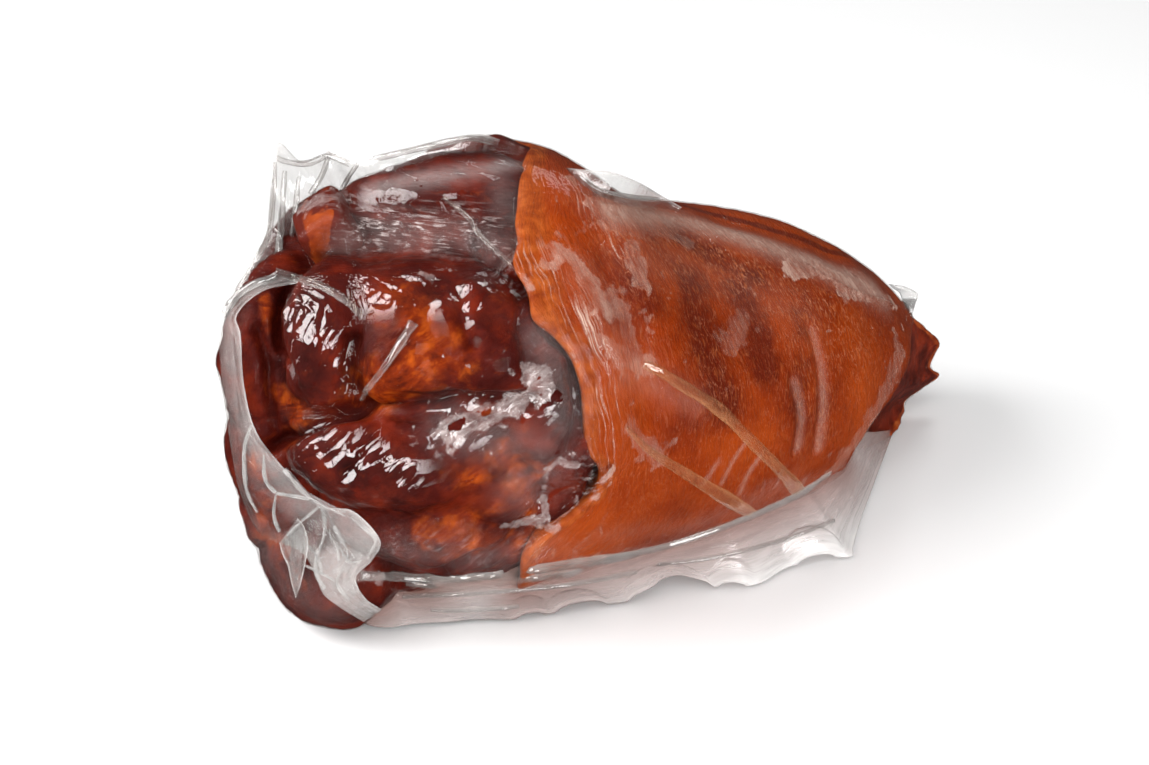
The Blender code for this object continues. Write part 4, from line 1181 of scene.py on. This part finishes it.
class Finish:
    """A material whose nodes are added by name."""

    def __init__(self, name):
        self.material = bpy.data.materials.new(name)
        self.material.use_nodes = True
        self.tree = self.material.node_tree
        self.tree.nodes.clear()
        self.output = self.add("ShaderNodeOutputMaterial")

    def add(self, kind, inputs=None, **settings):
        """A node; inputs has a number, a colour, an output or None for each socket."""
        node = self.tree.nodes.new(kind)
        for key, value in settings.items():
            setattr(node, key, value)
        for key, source in (inputs or {}).items():
            if isinstance(source, bpy.types.NodeSocket):
                self.tree.links.new(source, node.inputs[key])
            elif source is not None:
                node.inputs[key].default_value = source
        return node

    def math(self, operation, first, second=0.0, clamp=False):
        node = self.add("ShaderNodeMath", {0: first, 1: second}, operation=operation, use_clamp=clamp)
        return node.outputs[0]

    def plus(self, first, second):
        return self.math("ADD", first, second)

    def times(self, first, *others):
        for other in others:
            first = self.math("MULTIPLY", first, other)
        return first

    def most(self, first, *others):
        for other in others:
            first = self.math("MAXIMUM", first, other)
        return first

    def places(self, grain, stretch):
        """Places over the piece in metres, or over its painted grain in mm."""
        if grain:
            source = self.add("ShaderNodeAttribute", attribute_name="grain").outputs["Vector"]
        else:
            source = self.add("ShaderNodeTexCoord").outputs["Object"]
        if stretch is None:
            return source
        return self.add("ShaderNodeMapping", {"Vector": source, "Scale": stretch}).outputs[0]

    def noise(self, scale, detail=4.0, roughness=0.55, stretch=None, distortion=0.0, grain=False):
        return self.add("ShaderNodeTexNoise", {
            "Vector": self.places(grain, stretch), "Scale": scale, "Detail": detail,
            "Roughness": roughness, "Distortion": distortion}).outputs["Fac"]

    def cells(self, scale, stretch):
        """Distance to the middle of the nearest cell, over the painted grain."""
        return self.add("ShaderNodeTexVoronoi", {
            "Vector": self.places(True, stretch), "Scale": scale}).outputs["Distance"]

    def ramp(self, source, stops):
        node = self.add("ShaderNodeValToRGB", {0: source})
        marks = node.color_ramp.elements
        while len(marks) < len(stops):
            marks.new(0.5)
        for mark, (place, colour) in zip(marks, stops):
            mark.position = place
            mark.color = (*colour, 1.0)
        return node.outputs[0]

    def span(self, source, low, high, to_low=0.0, to_high=1.0):
        """Map low to high on to_low to to_high, and hold it there."""
        return self.add("ShaderNodeMapRange", dict(enumerate((source, low, high, to_low, to_high)))).outputs[0]

    def mix(self, share, first, second):
        return self.add("ShaderNodeMix", {0: share, 6: first, 7: second}, data_type="RGBA").outputs[2]

    def attribute(self, name):
        return self.add("ShaderNodeAttribute", attribute_name=name).outputs["Fac"]

    def bump(self, height, strength, distance, under=None):
        return self.add("ShaderNodeBump", {
            "Strength": strength, "Distance": distance, "Height": height, "Normal": under}).outputs[0]

    def matte(self, base, normal=None, shine=0.5, roughness=0.5):
        return self.add("ShaderNodeBsdfPrincipled", {
            "Base Color": base, "Roughness": roughness, "Normal": normal,
            "Specular IOR Level": shine}).outputs[0]

    def blend(self, share, first, second):
        return self.add("ShaderNodeMixShader", {0: share, 1: first, 2: second}).outputs[0]

    def gloss_over(self, normal, tint, face_on=FACE_ON_SHINE, fall=5.0, grazing=1.0):
        """A clear film: what lies behind it, tinted, under a sharp reflection."""
        clear = self.add("ShaderNodeBsdfTransparent", {"Color": tint})
        gloss = self.add("ShaderNodeBsdfGlossy", {"Color": WHITE, "Roughness": 0.03, "Normal": normal})
        facing = self.add("ShaderNodeLayerWeight", {"Blend": 0.5, "Normal": normal}).outputs["Facing"]
        shine = self.span(self.math("POWER", facing, fall), 0.0, 1.0, face_on, grazing)
        return self.blend(shine, clear.outputs[0], gloss.outputs[0])

    def finish(self, shader):
        self.tree.links.new(shader, self.output.inputs["Surface"])
        return self.material


def meat_finish():
    """Dark lean meat with streaks along its fibres, and amber fat."""
    f = Finish("smoked_meat")
    lean = f.ramp(f.noise(85.0, 6.0, 0.6), [
        (0.30, (0.017, 0.0013, 0.0009)), (0.50, (0.044, 0.0034, 0.0017)), (0.72, (0.12, 0.0105, 0.0026))])
    strip = f.noise(0.5, 4.0, 0.6, (0.3, 1.0, 1.0), 0.4, grain=True)
    lean = f.mix(f.span(strip, 0.56, 0.76, 0.0, 0.6), lean, (0.12, 0.013, 0.002, 1.0))
    fat = f.ramp(f.noise(0.2, 5.0, 0.62, (0.55, 1.0, 1.0), 0.4, grain=True), [
        (0.34, (0.045, 0.004, 0.001)), (0.50, (0.135, 0.014, 0.001)), (0.68, (0.32, 0.056, 0.003))])
    ragged = f.span(f.noise(120.0, 5.0, 0.7), 0.3, 0.7, -0.35, 0.35)
    share = f.span(f.plus(f.attribute("fat"), ragged), 0.2, 0.85)
    normal = f.bump(f.noise(0.9, 3.0, 0.6, (0.25, 1.0, 1.0), grain=True), 0.4, 0.0008)
    normal = f.bump(f.noise(260.0, 4.0, 0.6), 0.35, 0.0012, normal)
    return f.finish(f.matte(f.mix(share, lean, fat), normal, 0.05))


def skin_finish():
    """Orange-brown skin, mottled, finely wrinkled round the leg, fatty at its rim, with painted highlights on
    its fine wrinkles.
    """
    f = Finish("smoked_skin")
    base = f.ramp(f.noise(34.0, 4.0, 0.6), [
        (0.30, (0.115, 0.0105, 0.001)), (0.48, (0.19, 0.021, 0.001)), (0.7, (0.27, 0.037, 0.002))])
    ragged = f.span(f.noise(120.0, 5.0, 0.7), 0.25, 0.75, -0.5, 0.5)
    dark = f.span(f.plus(f.attribute("dark"), ragged), 0.25, 0.9, 0.0, 0.8)
    base = f.mix(dark, base, (0.07, 0.006, 0.002, 1.0))
    mottle = f.span(f.noise(190.0, 5.0, 0.65), 0.55, 0.75, 0.0, 0.35)
    base = f.mix(mottle, base, (0.085, 0.008, 0.002, 1.0))
    pale = f.span(f.plus(f.attribute("pale"), ragged), 0.3, 1.0, 0.0, 0.6)
    base = f.mix(pale, base, (0.25, 0.036, 0.003, 1.0))
    # Light dashes and lines on the fine wrinkles: painted highlights where a sheen catches them; the wrinkles'
    # bumps are real
    lined = f.attribute("lined")
    dashes = f.noise(1.25, 2.5, 0.6, (1.0, 0.32, 1.0), 0.25, grain=True)
    glint_patches = f.span(f.noise(45.0, 3.0, 0.6), 0.35, 0.62, 0.15, 0.6)
    light = f.times(f.span(dashes, 0.52, 0.68, 0.0, 0.6), glint_patches, f.span(lined, 0.25, 1.0, 0.7, 2.4))
    base = f.mix(light, base, (0.34, 0.085, 0.024, 1.0))
    wrinkle_glint = f.noise(0.85, 2.0, 0.5, (1.0, 0.30, 1.0), 0.3, grain=True)
    wrinkle_glint = f.span(f.math("ABSOLUTE", f.math("SUBTRACT", wrinkle_glint, 0.5)), 0.002, 0.024, 1.0, 0.0)
    broken = f.span(f.noise(330.0, 4.0, 0.65), 0.42, 0.56, 0.0, 0.9)
    base = f.mix(f.times(wrinkle_glint, broken, lined), base, (0.38, 0.14, 0.075, 1.0))
    pitted = f.span(f.noise(60.0, 4.0, 0.65), 0.42, 0.60, 0.0, 0.4)
    pits = f.times(f.span(f.cells(1.1, (1.0, 0.7, 1.0)), 0.22, 0.10), pitted)
    base = f.mix(pits, base, (0.36, 0.10, 0.036, 1.0))
    fatty = f.ramp(f.noise(260.0, 5.0, 0.6), [
        (0.3, (0.145, 0.019, 0.003)), (0.52, (0.25, 0.045, 0.006)), (0.75, (0.36, 0.085, 0.016))])
    base = f.mix(f.span(f.plus(f.attribute("edge"), f.times(ragged, 0.5)), 0.25, 0.6), base, fatty)
    normal = f.bump(dashes, 0.9, 0.0006)
    normal = f.bump(f.noise(1500.0, 2.0, 0.5), 0.15, 0.0002, normal)
    return f.finish(f.matte(base, normal, 0.05))


def fat_finish():
    """The knob: amber in front, brown on top, dark red at its sides."""
    f = Finish("smoked_fat")
    base = f.ramp(f.noise(190.0, 4.0, 0.6), [
        (0.3, (0.09, 0.009, 0.0015)), (0.52, (0.18, 0.024, 0.002)), (0.75, (0.27, 0.047, 0.004))])
    ragged = f.span(f.noise(260.0, 4.0, 0.65), 0.3, 0.7, -0.3, 0.3)
    dark = f.span(f.plus(f.attribute("dark"), ragged), 0.35, 0.65)
    normal = f.bump(f.noise(700.0, 3.0, 0.6), 0.2, 0.0004)
    return f.finish(f.matte(f.mix(dark, base, (0.07, 0.006, 0.002, 1.0)), normal, 0.1))


def sinew_finish():
    """Dark meat of the narrow end, with an amber lip of skin and fat."""
    f = Finish("smoked_sinew")
    base = f.ramp(f.noise(140.0, 5.0, 0.6), [
        (0.35, (0.05, 0.005, 0.002)), (0.55, (0.13, 0.013, 0.004)), (0.75, (0.22, 0.026, 0.006))])
    amber = f.ramp(f.noise(260.0, 4.0, 0.6), [
        (0.35, (0.13, 0.016, 0.003)), (0.55, (0.25, 0.042, 0.007)), (0.75, (0.38, 0.10, 0.026))])
    ragged = f.span(f.noise(200.0, 4.0, 0.65), 0.3, 0.7, -0.25, 0.25)
    lip = f.span(f.plus(f.attribute("fat"), ragged), 0.35, 0.6)
    normal = f.bump(f.noise(420.0, 4.0, 0.6), 0.3, 0.0008)
    return f.finish(f.matte(f.mix(lip, base, amber), normal, 0.12))


def clinging_finish():
    """The film on the ham: clear where it touches, milky where it doesn't, with painted sheens and highlights
    among its milky places.
    """
    f = Finish("clinging_film")
    crumpled = f.attribute("crumpled")
    normal = f.bump(f.noise(500.0, 2.0, 0.5, distortion=1.2), 0.4, 0.0003)
    normal = f.bump(
        f.cells(0.36, (1.3, 1.0, 1.0)), f.span(crumpled, 0.2, 0.9, 0.28, 1.0), 0.0008, normal)
    normal = f.bump(f.noise(0.8, 3.0, 0.6, distortion=0.8, grain=True), 0.5, 0.00012, normal)
    ragged = f.noise(220.0, 5.0, 0.7, distortion=0.5)
    cloud = f.noise(90.0, 5.0, 0.7, distortion=0.8)
    spots = f.noise(0.8, 4.0, 0.65, distortion=0.5, grain=True)
    # Milky patches, with painted sheens and painted highlights among them, ragged at the edges
    haze = f.plus(f.attribute("haze"), f.span(ragged, 0.25, 0.75, -0.3, 0.3))
    haze = f.times(
        f.span(haze, 0.34, 0.6), f.attribute("milk"),
        f.span(spots, 0.38, 0.62, 0.45, 1.0), f.span(cloud, 0.36, 0.6, 0.35, 1.1))
    # Veils and painted sheens, broken up by dashes and clouds
    dashes = f.noise(0.95, 2.5, 0.6, (1.0, 3.0, 1.0), 0.25, grain=True)
    veil = f.times(
        f.attribute("veil"), f.span(dashes, 0.36, 0.62, 0.7, 1.15), f.span(cloud, 0.35, 0.62, 0.75, 1.05))
    ridge = f.noise(1.0, 3.0, 0.6, (0.35, 1.0, 1.0), 0.4, grain=True)
    ridge = f.times(
        f.span(ridge, 0.50, 0.64, 0.0, 0.62), f.attribute("drawn"), f.span(ragged, 0.40, 0.60, 0.3, 1.0))
    hair = f.noise(1.5, 3.0, 0.65, (1.0, 0.28, 1.0), 0.2, grain=True)
    hair = f.times(
        f.span(hair, 0.53, 0.66), f.attribute("strands"), f.span(ragged, 0.40, 0.56, 0.2, 0.75))
    wisps = f.times(f.attribute("wisps"), f.span(ragged, 0.38, 0.60, 0.35, 1.0))
    # Colour of the milk, warm on skin and lilac on meat; it also colours the painted sheens and highlights
    colour = f.mix(f.span(crumpled, 0.02, 0.2), SKIN_MILK_AND_SHEEN, MEAT_MILK_AND_GLINT)
    face_on = f.most(
        f.span(crumpled, 0.02, 0.2, 0.007, 0.0025), f.span(crumpled, 0.3, 0.75, 0.0, 0.08))
    skin = f.gloss_over(normal, CLING_TINT, face_on, 5.5, 0.45)
    milk = f.matte(colour, normal, 0.1, roughness=0.6)
    return f.finish(f.blend(f.most(haze, veil, ridge, hair, wisps), skin, milk))


def loose_finish(name, low, high, rim, stretch, relief, milk_colour, tint, shine=(FACE_ON_SHINE, 5.0)):
    """Film that stands clear of the ham, with streaks along its pleats."""
    f = Finish(name)
    normal = f.bump(f.noise(330.0, 3.0, 0.55, distortion=0.8), 0.5, 0.00015)
    streak = f.noise(0.5, 4.0, 0.6, stretch, 0.6, grain=True)
    normal = f.bump(streak, 0.5, relief, normal)
    # Near the ham the milk turns pinker and darker: a painted shade and reflection of the ham
    milk = f.matte(f.mix(f.attribute("near"), milk_colour, HAM_SHADE_AND_REFLECTION), normal, 0.1)
    share = f.math("ADD", f.span(streak, 0.35, 0.65, low, high), f.times(f.attribute("edge"), rim), clamp=True)
    return f.finish(f.blend(share, f.gloss_over(normal, tint, *shine), milk))


def dress(piece, material):
    """Move a finished piece into the frame and give it its material."""
    to_frame(piece)
    piece.data.materials.clear()
    piece.data.materials.append(material)
    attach(piece, "root")
    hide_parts(NODE)


# Camera, floor and light


def add_camera():
    camera = bpy.data.cameras.new("camera")
    camera.lens = LENS
    camera.sensor_width = SENSOR
    thing = bpy.data.objects.new("camera", camera)
    bpy.context.scene.collection.objects.link(thing)
    turned = Matrix((sight.across, sight.up, sight.back)).transposed().to_4x4()
    turned.translation = (LOOK_AT - Vector(BASE_MIDDLE)) * MM + sight.back * SIGHT_DISTANCE * MM
    thing.matrix_world = turned
    bpy.context.scene.camera = thing


def add_floor():
    shape = bmesh.new()
    bmesh.ops.create_grid(shape, x_segments=1, y_segments=1, size=FLOOR_SIZE)
    floor = link_shape("floor", shape)
    floor.location.z = -FLOOR_DROP
    f = Finish("pale_floor")
    floor.data.materials.append(f.finish(f.matte(FLOOR_COLOUR, roughness=0.7)))
    floor.visible_glossy = False


def add_lamp(name, way, distance, size, power, mirrored):
    """A soft box that hangs a way off and faces the ham."""
    lamp = bpy.data.lights.new(name, "AREA")
    lamp.shape = "RECTANGLE"
    lamp.size, lamp.size_y = size
    lamp.energy = power
    thing = bpy.data.objects.new(name, lamp)
    bpy.context.scene.collection.objects.link(thing)
    way = Vector(way).normalized()
    thing.location = way * distance + Vector((0.0, 0.0, LAMPS_FACE))
    thing.rotation_euler = way.to_track_quat("Z", "Y").to_euler()
    thing.visible_glossy = mirrored


def add_light():
    world = bpy.data.worlds.new("studio")
    bpy.context.scene.world = world
    world.use_nodes = True
    shade = world.node_tree.nodes["Background"]
    shade.inputs["Color"].default_value = WHITE
    shade.inputs["Strength"].default_value = WORLD_STRENGTH
    for lamp in LAMPS:
        add_lamp(*lamp)


# The scene

meat, rind, fat, sinew = make_meat(), make_rind(), make_fat(), make_sinew()
ham_tree = tree_of(meat, rind, fat, sinew)
film = make_film([meat, rind, fat, sinew], ham_tree)
flange = make_flange(ham_tree)
mouth = make_web("film_mouth", MOUTH_WEB, ham_tree, count=150, rows=24, seed=2.0)
back = make_web("film_back", BACK_WEB, ham_tree, count=60, rows=10, seed=5.0)
corner = make_web("film_corner", END_CORNER, ham_tree, count=40, rows=10, seed=3.0)
strip = make_strip("film_mouth_strip", MOUTH_STRIP, ham_tree, count=260, milk=strip_milk)
lobe = make_strip("film_mouth_lobe", MOUTH_LOBE, ham_tree, count=60, milk=lobe_milk)
folds = [fold(ham_tree, *row) for row in FOLDS]
loose_tree = tree_of(mouth, back, strip, lobe, flange)
folds += [fold(loose_tree, *row) for row in PLEATS]

dress(meat, meat_finish())
dress(rind, skin_finish())
dress(fat, fat_finish())
dress(sinew, sinew_finish())
dress(film, clinging_finish())
loose_films = {name: loose_finish(name, *numbers) for name, numbers in LOOSE_FILMS.items()}
for piece in (flange, mouth, back, corner, strip, lobe, *folds):
    kind = next(kind for start, kind in FILM_OF if piece.name.startswith(start))
    dress(piece, loose_films[kind])

add_camera()
add_floor()
add_light()
bpy.context.scene.view_settings.view_transform = "Standard"
